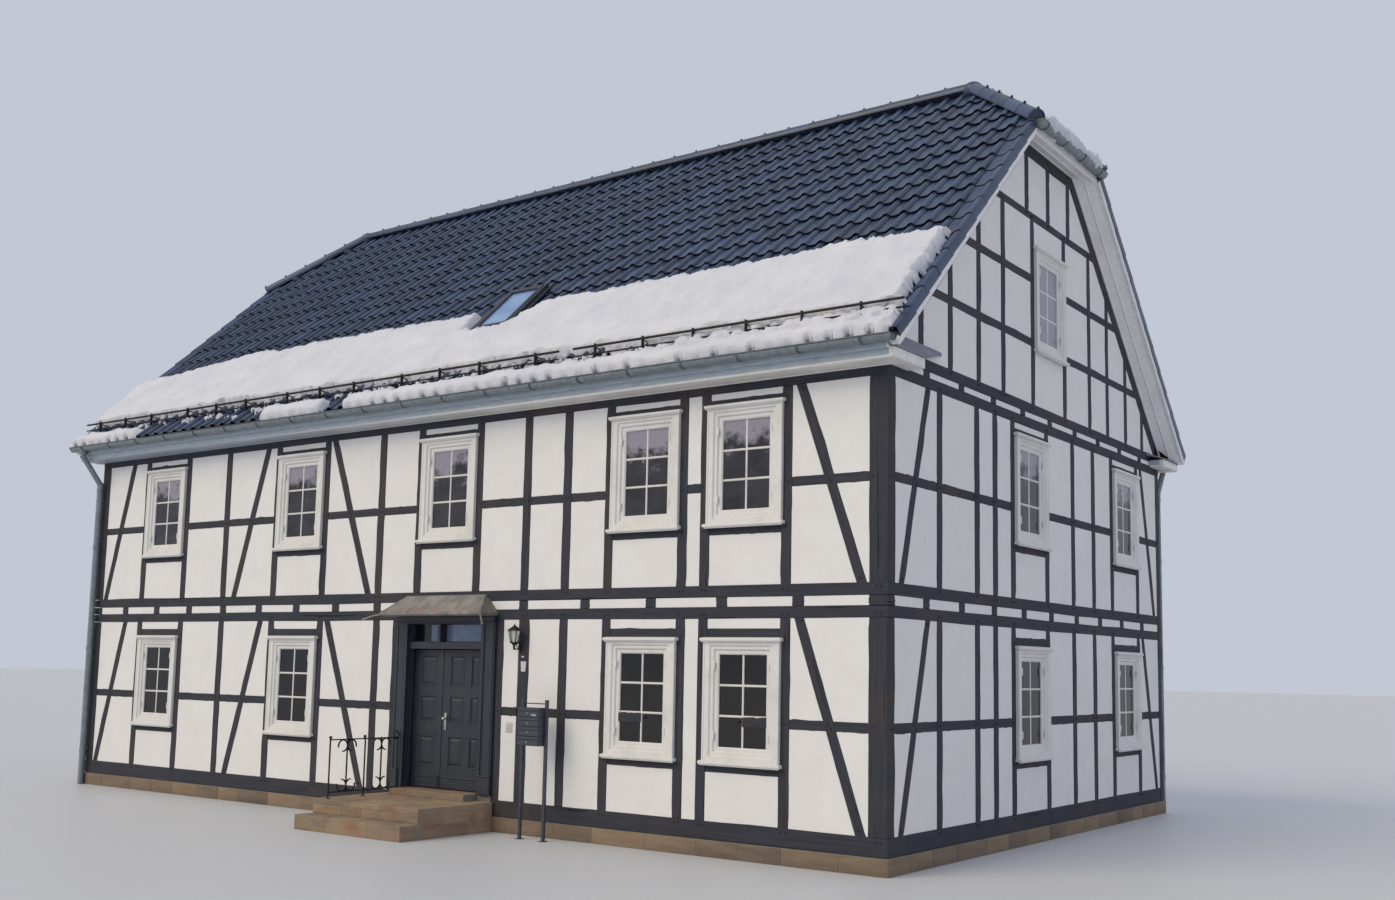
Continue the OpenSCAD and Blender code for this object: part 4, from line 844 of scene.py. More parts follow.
for side, turn, s in (("front", 0.0, 1), ("back", math.pi, -1)):
    base = slope_matrix((-s * VERGE_X, -s * EAVE_Y, ROOF_EDGE_Z), turn, SLOPE)
    tiles = joined([tiled(profile, columns, COURSES, base) for profile, columns in
                    ((PAN, range(1, COLUMNS - 1)), (LEFT_FLAP, [0]), (RIGHT_FLAP, [COLUMNS - 1]))])
    cut_away(tiles, (0, 0, 0), (0, s, 0))
    for end in (-1, 1):
        cut_away(tiles, (end * VERGE_X, -s * HIP_Y, 0), (end * HIP_Y, s * (VERGE_X - RIDGE_X), 0))
    settle(tiles, side + "_tiles", roof_glaze, stands_for=(side + "_roof",))

for side, turn, s in (("right", math.pi / 2, 1), ("left", -math.pi / 2, -1)):
    base = slope_matrix((s * VERGE_X, -s * HIP_COLUMNS * TILE_W / 2, HIP_EDGE_Z), turn, HIP_SLOPE)
    tiles = tiled(PAN, range(HIP_COLUMNS), HIP_COURSES, base)
    for y in (-1, 1):
        cut_away(tiles, (s * VERGE_X, y * HIP_Y, 0), (-s * HIP_Y, y * (VERGE_X - RIDGE_X), 0))
    settle(tiles, side + "_hip_tiles", roof_glaze, stands_for=(side + "_half_hip",))


# Battens, boards and rafters under the tiles: rough larch, seen only from inside and at the eaves.
# They are the roof faces planed a little lower, so that the tiles' tails have something to lie on.
roof_timber = coat("roof_timber", 0.8, 0, (4, 6, (1, 8, 8)), (66, 50, 36), (112, 88, 62), None, 0.004)
DECK_DROP, DECK_IN, TOP_LAYER = 0.115, 0.045, 0.09
decks = []
for name in ("front_roof", "back_roof", "right_half_hip", "left_half_hip"):
    deck = nodes[name].copy()
    deck.data = nodes[name].data.copy()
    bpy.context.scene.collection.objects.link(deck)
    for key in list(deck.keys()):
        del deck[key]
    deck.parent = None
    deck.hide_render = deck.hide_viewport = False
    for v in deck.data.vertices:
        x, y = abs(v.co.x), abs(v.co.y)
        skin = min(EAVE_Z + math.tan(SLOPE) * (HALF_D - y) + ROOF_T / math.cos(SLOPE),
                   TOP_Z + math.tan(HIP_SLOPE) * (HALF_L - x) + ROOF_T / math.cos(HIP_SLOPE))
        if skin - v.co.z < TOP_LAYER:
            v.co.z = skin - DECK_DROP
        v.co.x = math.copysign(min(x, VERGE_X - DECK_IN), v.co.x)
        v.co.y = math.copysign(min(y, EAVE_Y - DECK_IN), v.co.y)
    work_on(deck)
    bpy.ops.mesh.remove_doubles(threshold=0.0001)
    bpy.ops.mesh.dissolve_limited(angle_limit=math.radians(0.5))
    done()
    decks.append(deck)
settle(joined(decks), "roof_deck", roof_timber)


# Ridge and hip tiles: smooth glazed half-round caps that butt closely, each held by a small clip on
# its crown. A dome covers each meeting of ridge and hips, and a round disc closes the foot of a hip.
CAP_R, CAP_L, CAP_LAP, CAP_TAPER, RIDGE_SINK, RIDGE_Z = 0.125, 0.47, 0.03, 0.965, 0.06, 11.076
CLIP_W, CLIP_H = 0.028, 0.03


def tube(middle, radius, length, corners):
    """An open tube along x."""
    bpy.ops.object.select_all(action="DESELECT")
    bpy.ops.mesh.primitive_cylinder_add(vertices=corners, radius=radius, depth=length,
                                        end_fill_type="NOTHING", location=(middle, 0, 0),
                                        rotation=(0, math.pi / 2, 0))
    return fixed(bpy.context.object)


def ball(at, radius, segments, rings, scale=(1, 1, 1)):
    """A round or flattened ball."""
    bpy.ops.object.select_all(action="DESELECT")
    bpy.ops.mesh.primitive_uv_sphere_add(segments=segments, ring_count=rings, radius=radius, location=at,
                                         scale=scale)
    return fixed(bpy.context.object)


def cap_master():
    """One cap along x, its head at the origin and its slightly wider tail over the next one's head."""
    cap = tube(0.5, 1, 1, 24)
    cut_away(cap, (0, 0, -0.15), (0, 0, -1))
    for v in cap.data.vertices:
        r = CAP_R * (CAP_TAPER if v.co.x < 0.5 else 1.0)
        v.co = (v.co.x * (CAP_L + CAP_LAP), v.co.y * r, v.co.z * r)
    thickened(cap, TILE_THICK)
    mark(cap.data, "clear_of_painted_shade", [1.0] * len(cap.data.vertices))
    return cap


def cap_line(foot, head):
    """Places of the caps from the low end of a line to its high end."""
    foot, head = Vector(foot), Vector(head)
    run = head - foot
    count = max(1, round(run.length / CAP_L))
    turn = Matrix.Rotation(math.atan2(run.y, run.x), 4, "Z") @ Matrix.Rotation(
        -math.atan2(run.z, math.hypot(run.x, run.y)), 4, "Y")
    stretch = run.length / count / CAP_L
    return [Matrix.Translation(foot + run * (i / count)) @ turn @ Matrix.Diagonal((stretch, 1, 1, 1))
            @ Matrix.Rotation(math.pi, 4, "Z") @ Matrix.Translation((-CAP_L, 0, 0)) for i in range(count)]


ridge_low, hip_low = RIDGE_Z - RIDGE_SINK, HIP_EDGE_Z - RIDGE_SINK
places = cap_line((-RIDGE_X, 0, ridge_low), (RIDGE_X, 0, ridge_low))
domes, discs = [], []
for sx in (-1, 1):
    domes.append(ball((sx * (RIDGE_X - 0.02), 0, ridge_low), CAP_R + 0.012, 24, 12, (1.25, 1, 1)))
    for sy in (-1, 1):
        foot, head = Vector((sx * VERGE_X, sy * HIP_Y, hip_low)), Vector((sx * RIDGE_X, 0, ridge_low))
        places += cap_line(foot, head)
        bpy.ops.object.select_all(action="DESELECT")
        bpy.ops.mesh.primitive_cylinder_add(vertices=24, radius=CAP_R + 0.008, depth=0.03, location=foot,
                                            rotation=(head - foot).to_track_quat("Z", "Y").to_euler())
        discs.append(fixed(bevelled(bpy.context.object, 0.008, 2)))
# The domes and discs take the darkest tint of the glaze; on the hip discs, which face down and out, it is
# painted shade.
for thing in domes + discs:
    for layer, value in (("tint", 0.1), ("clear_of_painted_shade", 1.0)):
        mark(thing.data, layer, [value] * len(thing.data.vertices))
caps = joined([repeat(cap_master(), places, None, [chance.random() for _ in places])] + domes + discs)
settle(smoothed(caps, 40), "ridge_caps", roof_glaze, stands_for=("ridge_tiles",))

clip = block((CAP_L - CAP_LAP, -CLIP_W / 2, CAP_R - 0.012), (CAP_L + CAP_LAP, CLIP_W / 2, CAP_R + CLIP_H))
pick_faces(clip, lambda c, n: n.z > 0.9)
bpy.ops.transform.resize(value=(0.35, 0.8, 1), center_override=(CAP_L, 0, CAP_R + CLIP_H))
done()
dark_metal = coat("dark_metal", 0.5, 0.5, (60, 3), (30, 36, 46), (50, 58, 70), None, 0.001)
settle(repeat(clip, places), "ridge_clips", dark_metal)


# Verges: white painted boards. A flat board lines the box under the tiles and a narrow barge board
# stands on its edge below the tiles' flaps; a rounded moulding covers the joint of the soffit boards.
BOX_OUT, BOX_RISE, HIP_SOFFIT_DROP = 0.295, 0.14, 0.059
BARGE_TOP, BARGE_FOOT, BARGE_T, BARGE_EDGE = 0.125, 0.218, 0.035, 0.006
BEADS, BEAD_H, BEAD_EDGE = ((0.14, 0.028), (0.012, 0.03), (BOX_OUT - 0.012, 0.022)), 0.024, 0.007


def bar(foot, head, wide, tall, edge=0.0, up=(0, 0, 1)):
    """A squared bar from one point to another, wide across and tall towards up."""
    foot, head, up = Vector(foot), Vector(head), Vector(up)
    along = (head - foot).normalized()
    side = up.cross(along).normalized()
    piece = block((0, -wide / 2, -tall / 2), ((head - foot).length, wide / 2, tall / 2), edge)
    turned = Matrix((along, side, along.cross(side))).transposed().to_4x4()
    return fixed(piece, Matrix.Translation(foot) @ turned)


def rod(foot, head, radius, corners=8, top=None):
    """A round rod from one point to another, with its own radius at the head if it tapers."""
    foot, head = Vector(foot), Vector(head)
    bpy.ops.object.select_all(action="DESELECT")
    bpy.ops.mesh.primitive_cone_add(vertices=corners, radius1=radius, radius2=radius if top is None else top,
                                    depth=(head - foot).length, location=(foot + head) / 2,
                                    rotation=(head - foot).to_track_quat("Z", "Y").to_euler())
    return fixed(bpy.context.object)


def verge_boards(end):
    """Barge boards and soffit mouldings of one gable."""
    barge = (BOX_OUT + BARGE_T / 2, -0.37, 3.62, (BARGE_TOP + BARGE_FOOT) / 2, BARGE_T,
             BARGE_FOOT - BARGE_TOP, BARGE_EDGE)
    parts = []
    for s in (1, -1):
        square = Vector((0, -s * math.sin(SLOPE), math.cos(SLOPE)))
        beads = [(out, -0.2, 3.775 + out * 0.06 if out > 0.1 else 3.83, ROOF_T - BOX_RISE * out / BOX_OUT,
                  wide, BEAD_H, BEAD_EDGE) for out, wide in BEADS]
        for out, low, high, deep, wide, tall, edge in [barge] + beads:
            x = end * (HALF_L + out)
            parts.append(bar(on_slope(s, x, low, deep), on_slope(s, x, high, deep), wide, tall, edge, square))
    for out, wide in BEADS:
        x, z = end * (HALF_L + out), TOP_Z - HIP_SOFFIT_DROP * out / BOX_OUT
        reach = HALF_D - ((z - EAVE_Z - BOX_RISE * out / BOX_OUT / math.cos(SLOPE)) / math.tan(SLOPE))
        parts.append(bar((x, -reach, z), (x, reach, z), wide, BEAD_H, BEAD_EDGE))
    return joined(parts)


white_boards = coat("white_boards", 0.5, 0, (10, 4, (1, 1, 4)), (228, 228, 230), (242, 242, 243), (0.4, 0.6),
                    0.002, dirt=((1.5, 5), 0.5, 0.8, 0.5, (206, 202, 203)))
finish_nodes(white_boards, "right_verge", "left_verge")
for end, side in ((1, "right"), (-1, "left")):
    settle(verge_boards(end), side + "_verge_boards", white_boards)


# Cornices: a white moulded board runs under each gutter and returns round the gable, with a grey
# painted fascia over it. A folded sheet with a turned-down edge weathers the top of each return.
CORNICE_Z, CORNICE_TOP, CORNICE_OUT, FASCIA_OUT, RETURN_OUT, RETURN_L = 5.74, 5.855, 0.31, 0.37, 0.23, 0.46
FASCIA_X, FASCIA_Z, FASCIA_TOP, BOARD_X, SHEET_T = 8.19, 5.84, 5.975, HALF_L + RETURN_OUT, 0.005
COVER_EDGE_Z, COVERS = 5.867, {1: (6.105, 1.35), -1: (5.93, 0.62)}    # top and tip, at the front and back
cornice_paint, spot = new_finish("cornice_paint", 0.5)
place = put("SeparateXYZ", {"Vector": spot})
brush = noise(spot, 10, 4, (0.6, 3, 3))
boards = patched(tones(brush, (226, 225, 222), (240, 239, 236)), noise(spot, 2.2, 5, (3, 3, 0.6)),
                 0.5, 0.8, 0.5, (196, 192, 188))
# Painted shade: the white boards turn blue-grey towards the left end, from x = 3 to x = -4, where the cornice
# lies in shade.
boards = mixed(climb(place["X"], 3.0, -4.0), boards, shade(168, 178, 192))
at_return = sums("GREATER_THAN", sums("ABSOLUTE", place["X"]), 8.17)
above = sums("GREATER_THAN", place["Z"], sums("ADD", CORNICE_Z + 0.028, times(at_return, 0.11)))
surface_of(cornice_paint, mixed(above, boards, tones(brush, (158, 170, 181), (182, 193, 203))),
           between(brush, 0.35, 0.6), brush, 0.002)


def out_from(s, x, out, z):
    """A point so far out from the face of the front wall (1) or of the back wall (-1)."""
    return x, -s * (HALF_D + out), z


trims, covers = [], []
for s, side in ((1, "front"), (-1, "back")):
    parts = [block(out_from(s, -BOARD_X, 0, CORNICE_Z),
                   out_from(s, BOARD_X, CORNICE_OUT, CORNICE_TOP), 0.003),
             block(out_from(s, -FASCIA_X, 0.3, FASCIA_Z),
                   out_from(s, FASCIA_X, FASCIA_OUT, FASCIA_TOP), 0.003)]
    top_z = COVERS[s][0]
    for end in (1, -1):
        near, far = end * HALF_L, end * BOARD_X
        parts.append(block(out_from(s, near, -RETURN_L, CORNICE_Z),
                           out_from(s, far, 0.01, CORNICE_TOP), 0.003))
        closer = block(out_from(s, near, 0.31, CORNICE_TOP), out_from(s, far, 0.34, top_z - 0.01))
        cut_away(closer, (end * (BOARD_X - 0.004), 0, COVER_EDGE_Z),
                 (end * (top_z - COVER_EDGE_Z), 0, BOARD_X - HALF_L))
        covers.append(closer)
    settle(joined(parts), side + "_cornice_boards", cornice_paint,
           stands_for=(side + "_cornice",))

for s, (top_z, tip) in COVERS.items():
    for out, z, wide, tall in ((CORNICE_OUT - 0.004, CORNICE_Z + 0.010, 0.022, 0.024),
                               (0.012, CORNICE_Z - 0.006, 0.024, 0.016)):
        trims.append(bar(out_from(s, -BOARD_X, out, z), out_from(s, BOARD_X, out, z), wide, tall, 0.008))
    for end in (1, -1):
        for out, z, wide, tall in ((RETURN_OUT - 0.004, CORNICE_Z + 0.010, 0.022, 0.024),
                                   (RETURN_OUT + 0.002, CORNICE_TOP - 0.012, 0.014, 0.024)):
            x = end * (HALF_L + out)
            trims.append(bar(out_from(s, x, CORNICE_OUT - 0.03, z), out_from(s, x, -RETURN_L + 0.03, z),
                             wide, tall, 0.008))
        low_x, high_x, rim_x = end * (BOARD_X + 0.006), end * (HALF_L + 0.002), end * (HALF_L + 0.004)
        low_z, high_z = COVER_EDGE_Z + 0.004, top_z + 0.002
        sheet = block((-0.5, -0.5, -0.5), (0.5, 0.5, 0.5))
        pick_faces(sheet, lambda c, n: n.z < 0.9)
        bpy.ops.mesh.delete(type="FACE")
        done()
        corners = {(1, 0): (low_x, 0.35, low_z), (1, 1): (low_x, -RETURN_L, low_z),
                   (0, 1): (high_x, -tip, high_z), (0, 0): (high_x, 0.35, high_z)}
        for v in sheet.data.vertices:
            v.co = out_from(s, *corners[(int(v.co.x > 0), int(v.co.y > 0))])
        work_on(thickened(sheet, SHEET_T, 0))
        bpy.ops.mesh.normals_make_consistent(inside=False)
        done()
        covers.append(sheet)
        inner, peak = out_from(s, low_x, -RETURN_L, low_z), out_from(s, rim_x, -tip, high_z)
        for a, b, wide, tall in ((out_from(s, low_x, CORNICE_OUT, low_z), inner, 0.016, 0.02),
                                 (inner, peak, 0.016, 0.016),
                                 (out_from(s, rim_x, -0.12, high_z), peak, 0.008, 0.05)):
            covers.append(bar(a, b, wide, tall, 0.003))
settle(joined(trims), "cornice_mouldings", cornice_paint)
cover_sheet = coat("cover_sheet", 0.55, 0.4, (6, 5), (120, 120, 136), (150, 149, 165), (0.45, 0.7), 0.002)
settle(joined(covers), "return_covers", cover_sheet)


# Gutters: half-round zinc troughs with a rolled front edge, soldered in lengths and carried by straps
# that are screwed to the fascia. Each end is closed by a round cap.
GUTTER_R, GUTTER_OUT, GUTTER_Z, GUTTER_HALF = 0.075, 5.295, 5.962, 8.29
HIP_GUTTER_X, HIP_GUTTER_Z, HIP_GUTTER_HALF = 8.37, 9.788, 1.273
STRAP_T, STRAP_W, STRAP_STEP, HIP_STRAP_STEP, END_T = 0.004, 0.03, 0.832, 0.7, 0.004
zinc = coat("zinc", 0.5, 0.25, (14, 5), (114, 125, 132), (143, 153, 160), (0.35, 0.6), 0.001,
            dirt=((3, 4, (4, 4, 0.8)), 0.5, 0.75, 0.45, (98, 108, 111)))
finish_nodes(zinc, "gutters", "downpipes")

strap = tube(0, GUTTER_R + STRAP_T, STRAP_W, 20)
cut_away(strap, (0, 0, 0.002), (0, 0, 1))
thickened(strap, STRAP_T, 1)
places = []
for turn in (0, math.pi):
    way = Matrix.Rotation(turn, 4, "Z")
    places += [way @ Matrix.Translation((-7.9 + i * STRAP_STEP, -GUTTER_OUT, GUTTER_Z)) for i in range(20)]
    places += [way @ Matrix.Translation((HIP_GUTTER_X, -1.05 + i * HIP_STRAP_STEP, HIP_GUTTER_Z))
               @ Matrix.Rotation(math.pi / 2, 4, "Z") for i in range(4)]
parts = [repeat(strap, places)]
for s in (1, -1):
    y, lip_y = -s * GUTTER_OUT, -s * (GUTTER_OUT + GUTTER_R)
    x, lip_x = s * HIP_GUTTER_X, s * (HIP_GUTTER_X + GUTTER_R - 0.006)
    parts += [rod((-GUTTER_HALF, lip_y, GUTTER_Z), (GUTTER_HALF, lip_y, GUTTER_Z), 0.01, 10),
              rod((lip_x, -HIP_GUTTER_HALF, HIP_GUTTER_Z), (lip_x, HIP_GUTTER_HALF, HIP_GUTTER_Z), 0.009, 10)]
    for end in (1, -1):
        long_ends, hip_ends = ([end * (half + t) for t in (-END_T, END_T)]
                               for half in (GUTTER_HALF, HIP_GUTTER_HALF))
        for foot, head in ([(a, y, GUTTER_Z) for a in long_ends], [(x, b, HIP_GUTTER_Z) for b in hip_ends]):
            cap_end = rod(foot, head, GUTTER_R, 24)
            cut_away(cap_end, (0, 0, foot[2] + 0.004), (0, 0, 1))
            parts.append(cap_end)
worn_zinc = coat("worn_zinc", 0.6, 0.2, (9, 5), (74, 82, 86), (104, 112, 116), (0.5, 0.7), 0.001)
settle(smoothed(joined(parts), 40), "gutter_trim", worn_zinc)


# Downpipe sockets: each length of pipe is pushed into a wider sleeve and held by a hinged clamp.
# A funnel soldered under the gutter leads into the bend at the top.
PIPE_X, PIPE_OUT, PIPE_R, SLEEVE_H = 7.95, 4.93, 0.05, 0.07


def upright(x, y, z0, z1, radius, corners=8, top=None):
    return rod((x, y, z0), (x, y, z1), radius, corners, top)


parts = []
for s in (1, -1):
    for z in (0.55, 2.35, 4.15, 5.2):
        parts.append(upright(-s * PIPE_X, -s * PIPE_OUT, z, z + SLEEVE_H, PIPE_R + 0.006, 20))
    parts.append(upright(-s * PIPE_X, -s * GUTTER_OUT, GUTTER_Z - GUTTER_R - 0.05, GUTTER_Z - GUTTER_R + 0.02,
                         PIPE_R, 20, PIPE_R + 0.02))
settle(smoothed(joined(parts), 40), "pipe_sleeves", zinc)


# Snow guard: two forged rods held over the tiles by brackets that hook under the course above.
# The brackets stand plumb, each on the crown of a roll.
GUARD_LOW, GUARD_HIGH, LOW_R, HIGH_R, GUARD_BEHIND = 0.036, 0.142, 0.012, 0.017, -0.2
GUARD_RUNS = ((3.4, 8.3, 6), (-8.3, 3.14, 13))      # from, to and how many brackets
black_iron = coat("black_iron", 0.5, 0.3, (40, 4), (22, 22, 25), (46, 44, 46), (0.4, 0.7), 0.002, high=0.75)
guard_base = Matrix.Translation(on_slope(1, 0, GUARD_BEHIND))
up_slope = Vector((0, math.cos(SLOPE), math.sin(SLOPE)))
bracket = joined([block((-0.009, -0.022, -0.02), (0.009, 0.022, GUARD_HIGH + 0.03), 0.002),
                  bar(-0.02 * up_slope, 0.22 * up_slope, 0.028, 0.008, 0.002),
                  bar(0.16 * up_slope, (0, 0.012, GUARD_HIGH - 0.02), 0.006, 0.02, 0.002)])
places, rods = [], []
for x0, x1, count in GUARD_RUNS:
    for i in range(count):
        at = x0 + (i + 0.5) * (x1 - x0) / count
        crown = round((at + VERGE_X) / TILE_W) * TILE_W - VERGE_X - 0.06
        places.append(guard_base @ Matrix.Translation((crown, 0, 0)))
    for z, radius in ((GUARD_LOW, LOW_R), (GUARD_HIGH, HIGH_R)):
        rods.append(rod(guard_base @ Vector((x0, 0, z)), guard_base @ Vector((x1, 0, z)), radius, 10))
guard = smoothed(joined([repeat(bracket, places)] + rods), 40)
settle(guard, "guard_rods", black_iron, stands_for=("snow_guard",))


# Roof window: a pivot window in a grey metal frame, with a sheet apron dressed over the tiles.
# The frame steps down to the pane, which is sealed into it.
WINDOW_X, WINDOW_B, HATCH_W, HATCH_L, APRON, SIDE_FLASH = 0.83, 1.23, 0.39, 0.61, 0.12, 0.06
window_base = slope_matrix(on_slope(1, WINDOW_X, WINDOW_B), 0, SLOPE)
hatch = block((-HATCH_W, -HATCH_L, -0.12), (HATCH_W, HATCH_L, 0.045))
pick_faces(hatch, lambda c, n: n.z > 0.9)
stepped((0.006, 0.006), (0.03, 0), (0.004, -0.012), (0.012, 0), (0.004, 0.018), (0.055, 0), (0.006, -0.03))
done()
parts = [hatch, block((-HATCH_W - 0.07, -HATCH_L - APRON, -0.012), (HATCH_W + 0.07, -HATCH_L, 0.006), 0.004)]
for s in (-1, 1):
    parts.append(block((s * HATCH_W, -HATCH_L, -0.03),
                       (s * (HATCH_W + SIDE_FLASH), HATCH_L + 0.06, 0.004), 0.003))
window_metal = coat("window_metal", 0.45, 0.5, (18, 4), (52, 56, 64), (74, 78, 88), (0.35, 0.6), 0.001)
settle(fixed(joined(parts), window_base), "roof_window_frame", window_metal,
       stands_for=("roof_window",))
# The pane's blue is a painted reflection of the sky.
painted_sky_pane = coat("painted_sky_pane", 0.08, 0, (2, 4), (104, 140, 190), (132, 164, 208), (0.05, 0.12), 0.004,
                 0.2, 0.35, 0.65)
settle(fixed(block((-0.29, -0.51, 0.016), (0.29, 0.51, 0.028), 0.002), window_base), "roof_window_pane",
       painted_sky_pane, stands_for=("roof_window",))


# Roof snow: a wind-packed bank lies on the lower third of the front slope behind the guard. It has
# slid off in places between the guard and the gutter, and lumps of it sit in the half-hip's gutter.
SNOW_LOW, SNOW_UP, SNOW_HALF, SNOW_ROWS, PER_TILE, SNOW_SKIN = -0.10, 2.48, 8.36, 76, 8, 0.018
HANG_FROM, HANG_L = 0.02, 0.11      # the snow hangs over the tiles' tails from here down


def clamp(value, low=0.0, high=1.0):
    return max(low, min(high, value))


def ease(value, low, high):
    """0 below low, 1 above high, and smooth between."""
    t = clamp((value - low) / (high - low))
    return t * t * (3 - 2 * t)


def mix(one, other, t):
    return one * (1 - t) + other * t


def snow_foot(s):
    """Below this depth there is no snow; it hangs round the tails of the first course."""
    return -0.05 - 0.045 * clamp((HANG_FROM - s) / HANG_L) ** 2


def snow_depth(x, s):
    """How far the snow's top lies over the rolls of the tiles, s metres up the slope from the eave."""
    broad = cloud.noise(Vector((x * 0.8, s * 1.6, 3.1)))
    fine = cloud.fractal(Vector((x * 4.5, s * 4.5, 7.7)), 0.9, 2.1, 3)
    grain = cloud.noise(Vector((x * 14, s * 14, 1.3)))
    ragged = cloud.noise(Vector((x * 17, s * 9, 5.2)))
    over_roll = math.cos(2 * math.pi * ((x + VERGE_X) / TILE_W - 0.8))
    # the bank: its upper edge, its depth, and its two ends
    top = (2.28 + 0.05 * cloud.noise(Vector((x * 1.7, 0, 0)))
           + 0.06 * cloud.noise(Vector((x * 6, 9, 0))) + 0.1 * ragged)
    top -= 0.36 * (1 - ease(x, -8.6, -5.6)) + 0.55 * ease(x, 0.15, 0.40) * (1 - ease(x, 1.15, 1.9))
    bank = 0.115 + 0.03 * broad + 0.02 * fine + 0.009 * grain
    bank *= 0.4 + 0.6 * ease(top - s, 0.0, 0.12)
    bank -= 0.25 * (1 - ease(top - s, -0.05, 0.02))
    bank -= (0.25 * (1 - ease(8.2 + 0.07 * fine + 0.07 * ragged - x, -0.02, 0.04))
             + 0.2 * (1 - ease(x + 8.26, -0.02, 0.05)))
    foot = 0.53 + 0.05 * fine + 0.03 * ragged - 0.05 * ease(x, 3.5, 5.5)
    # what is left in the troughs below the guard
    lumps = cloud.fractal(Vector((x * 6.0, s * 9.0, 21.0)), 0.9, 2.2, 3)
    slid = 1 - ease(x, -1.3, -0.6)
    pocket = -0.045 + 0.14 * lumps - 0.015 * over_roll + 0.085 * ease(x, 3.5, 5.5)
    pocket -= 0.03 * slid + 0.1 * slid * (1 - ease(s, 0.12, 0.2))
    # the strip that hangs over the first course
    strip_top = 0.215 + 0.05 * cloud.noise(Vector((x * 2.5, 4, 0))) + 0.03 * ragged
    has_strip = clamp(ease(x, -3.1, -2.8) - ease(x, -1.45, -1.35) + ease(x, -0.95, -0.85)
                      + ease(-x, 6.1, 6.5))
    has_strip *= ease(8.22 + 0.03 * fine - x, -0.02, 0.04)
    hang = clamp((HANG_FROM - s) / HANG_L)
    strip = 0.085 + 0.03 * fine + 0.006 * grain - 0.145 * hang ** 2
    strip -= 0.16 * ease(s, strip_top - 0.05, strip_top + 0.04) + 0.3 * (1 - has_strip)
    low_part = max(strip, min(pocket, 0.06) - 0.3 * (hang > 0)) - 0.3 * (1 - ease(8.26 - abs(x), -0.02, 0.03))
    tooth = cloud.noise(Vector((round((x + VERGE_X) / TILE_W - 0.8) * 3.7, 5.5, 2.2)))
    if over_roll > 0.35 and hang > 0.5 - 0.5 * tooth:
        low_part = -1.0
    return max(mix(low_part, bank, ease(s - foot, 0.0, 0.04)), snow_foot(s) - 0.004)


bpy.ops.object.select_all(action="DESELECT")
bpy.ops.mesh.primitive_grid_add(x_subdivisions=COLUMNS * PER_TILE, y_subdivisions=SNOW_ROWS, size=1)
snow = bpy.context.object
for v in snow.data.vertices:
    x, s = v.co.x * 2 * SNOW_HALF, mix(SNOW_LOW, SNOW_UP, v.co.y + 0.5)
    v.co = (x, s, snow_depth(x, s))
pick_faces(snow, lambda c, n: c.z < snow_foot(c.y) + 0.02)
bpy.ops.mesh.delete(type="FACE")
done()
parts = [fixed(thickened(snow, SNOW_SKIN), slope_matrix((0, -EAVE_Y, ROOF_EDGE_Z), 0, SLOPE))]

chance = np.random.default_rng(77)
for i in range(11):
    at = -0.95 + i * 0.19 + chance.normal(0, 0.03)
    size = abs(chance.normal(0.085, 0.02)) + 0.035
    spot = (HIP_GUTTER_X - 0.01 + chance.normal(0, 0.012), at, HIP_GUTTER_Z + 0.02 + size * 0.3)
    bpy.ops.object.select_all(action="DESELECT")
    bpy.ops.mesh.primitive_ico_sphere_add(subdivisions=3, radius=size, scale=(1.0, 1.5, 0.9), location=spot)
    lump = fixed(bpy.context.object)
    for v in lump.data.vertices:
        v.co += v.normal * 0.03 * cloud.fractal(v.co * 9, 0.8, 2.1, 3)
    parts.append(lump)
packed_snow, spot = new_finish("packed_snow", 0.7)
surface_of(packed_snow, tones(noise(spot, 2.0, 5), (206, 209, 220), (222, 223, 231)), None,
           sums("ADD", noise(spot, 11, 5), times(noise(spot, 90, 3), 0.25)), 0.03, 0.7)
settle(smoothed(joined(parts), 80), "roof_snow", packed_snow)


# Doorway: a frame and panelled casing of oak painted blue-black, with a moulded bar and a mullion
# under the transom light. The cut frame carries the planted mouldings, which are glued and pinned.
DOOR_L, DOOR_R, CASING_L, CASING_R, MEETING_X = 0.25, 1.72, 0.01, 1.99, 0.857
SILL_Z, TRANSOM_LOW, TRANSOM_HIGH, BASE_H = 0.475, 2.539, 2.799, 0.24
CASING_FACE, REVEAL_FACE, TRANSOM_FACE = -4.888, -4.85, -4.73
door_paint = coat("door_paint", 0.42, 0, (9, 5, (5, 5, 0.5)), (37, 41, 51), (51, 56, 68), (0.3, 0.55), 0.002,
                  dirt=((2.5, 6), 0.5, 0.8, 0.5, (64, 66, 68)))
finish_nodes(door_paint, "door_frame")

parts = []
for inner, outer, jamb, s in ((DOOR_L + 0.01, CASING_L, DOOR_L, -1), (DOOR_R + 0.02, CASING_R, DOOR_R, 1)):
    sunk = CASING_FACE + 0.002
    for near, far, proud in ((0.002, 0.052, 0.014), (0.198, 0.228, 0.010), (0.060, 0.074, 0.007)):
        parts.append(block((inner + s * near, CASING_FACE - proud, SILL_Z + 0.26),
                           (inner + s * far, sunk, TRANSOM_HIGH - 0.02), 0.005, 2))
    parts += [block((outer - s * 0.001, CASING_FACE - 0.02, SILL_Z),
                    (inner + s * 0.001, sunk, SILL_Z + BASE_H), 0.006),
              block((outer + s * 0.004, CASING_FACE - 0.026, SILL_Z + 0.235),
                    (inner - s * 0.004, sunk, SILL_Z + 0.262), 0.008, 2)]
    for y, proud in ((-4.835, 0.010), (-4.800, 0.016), (-4.765, 0.008)):
        parts.append(block((jamb, y, SILL_Z), (jamb - s * proud, y + 0.022, TRANSOM_HIGH), 0.004))
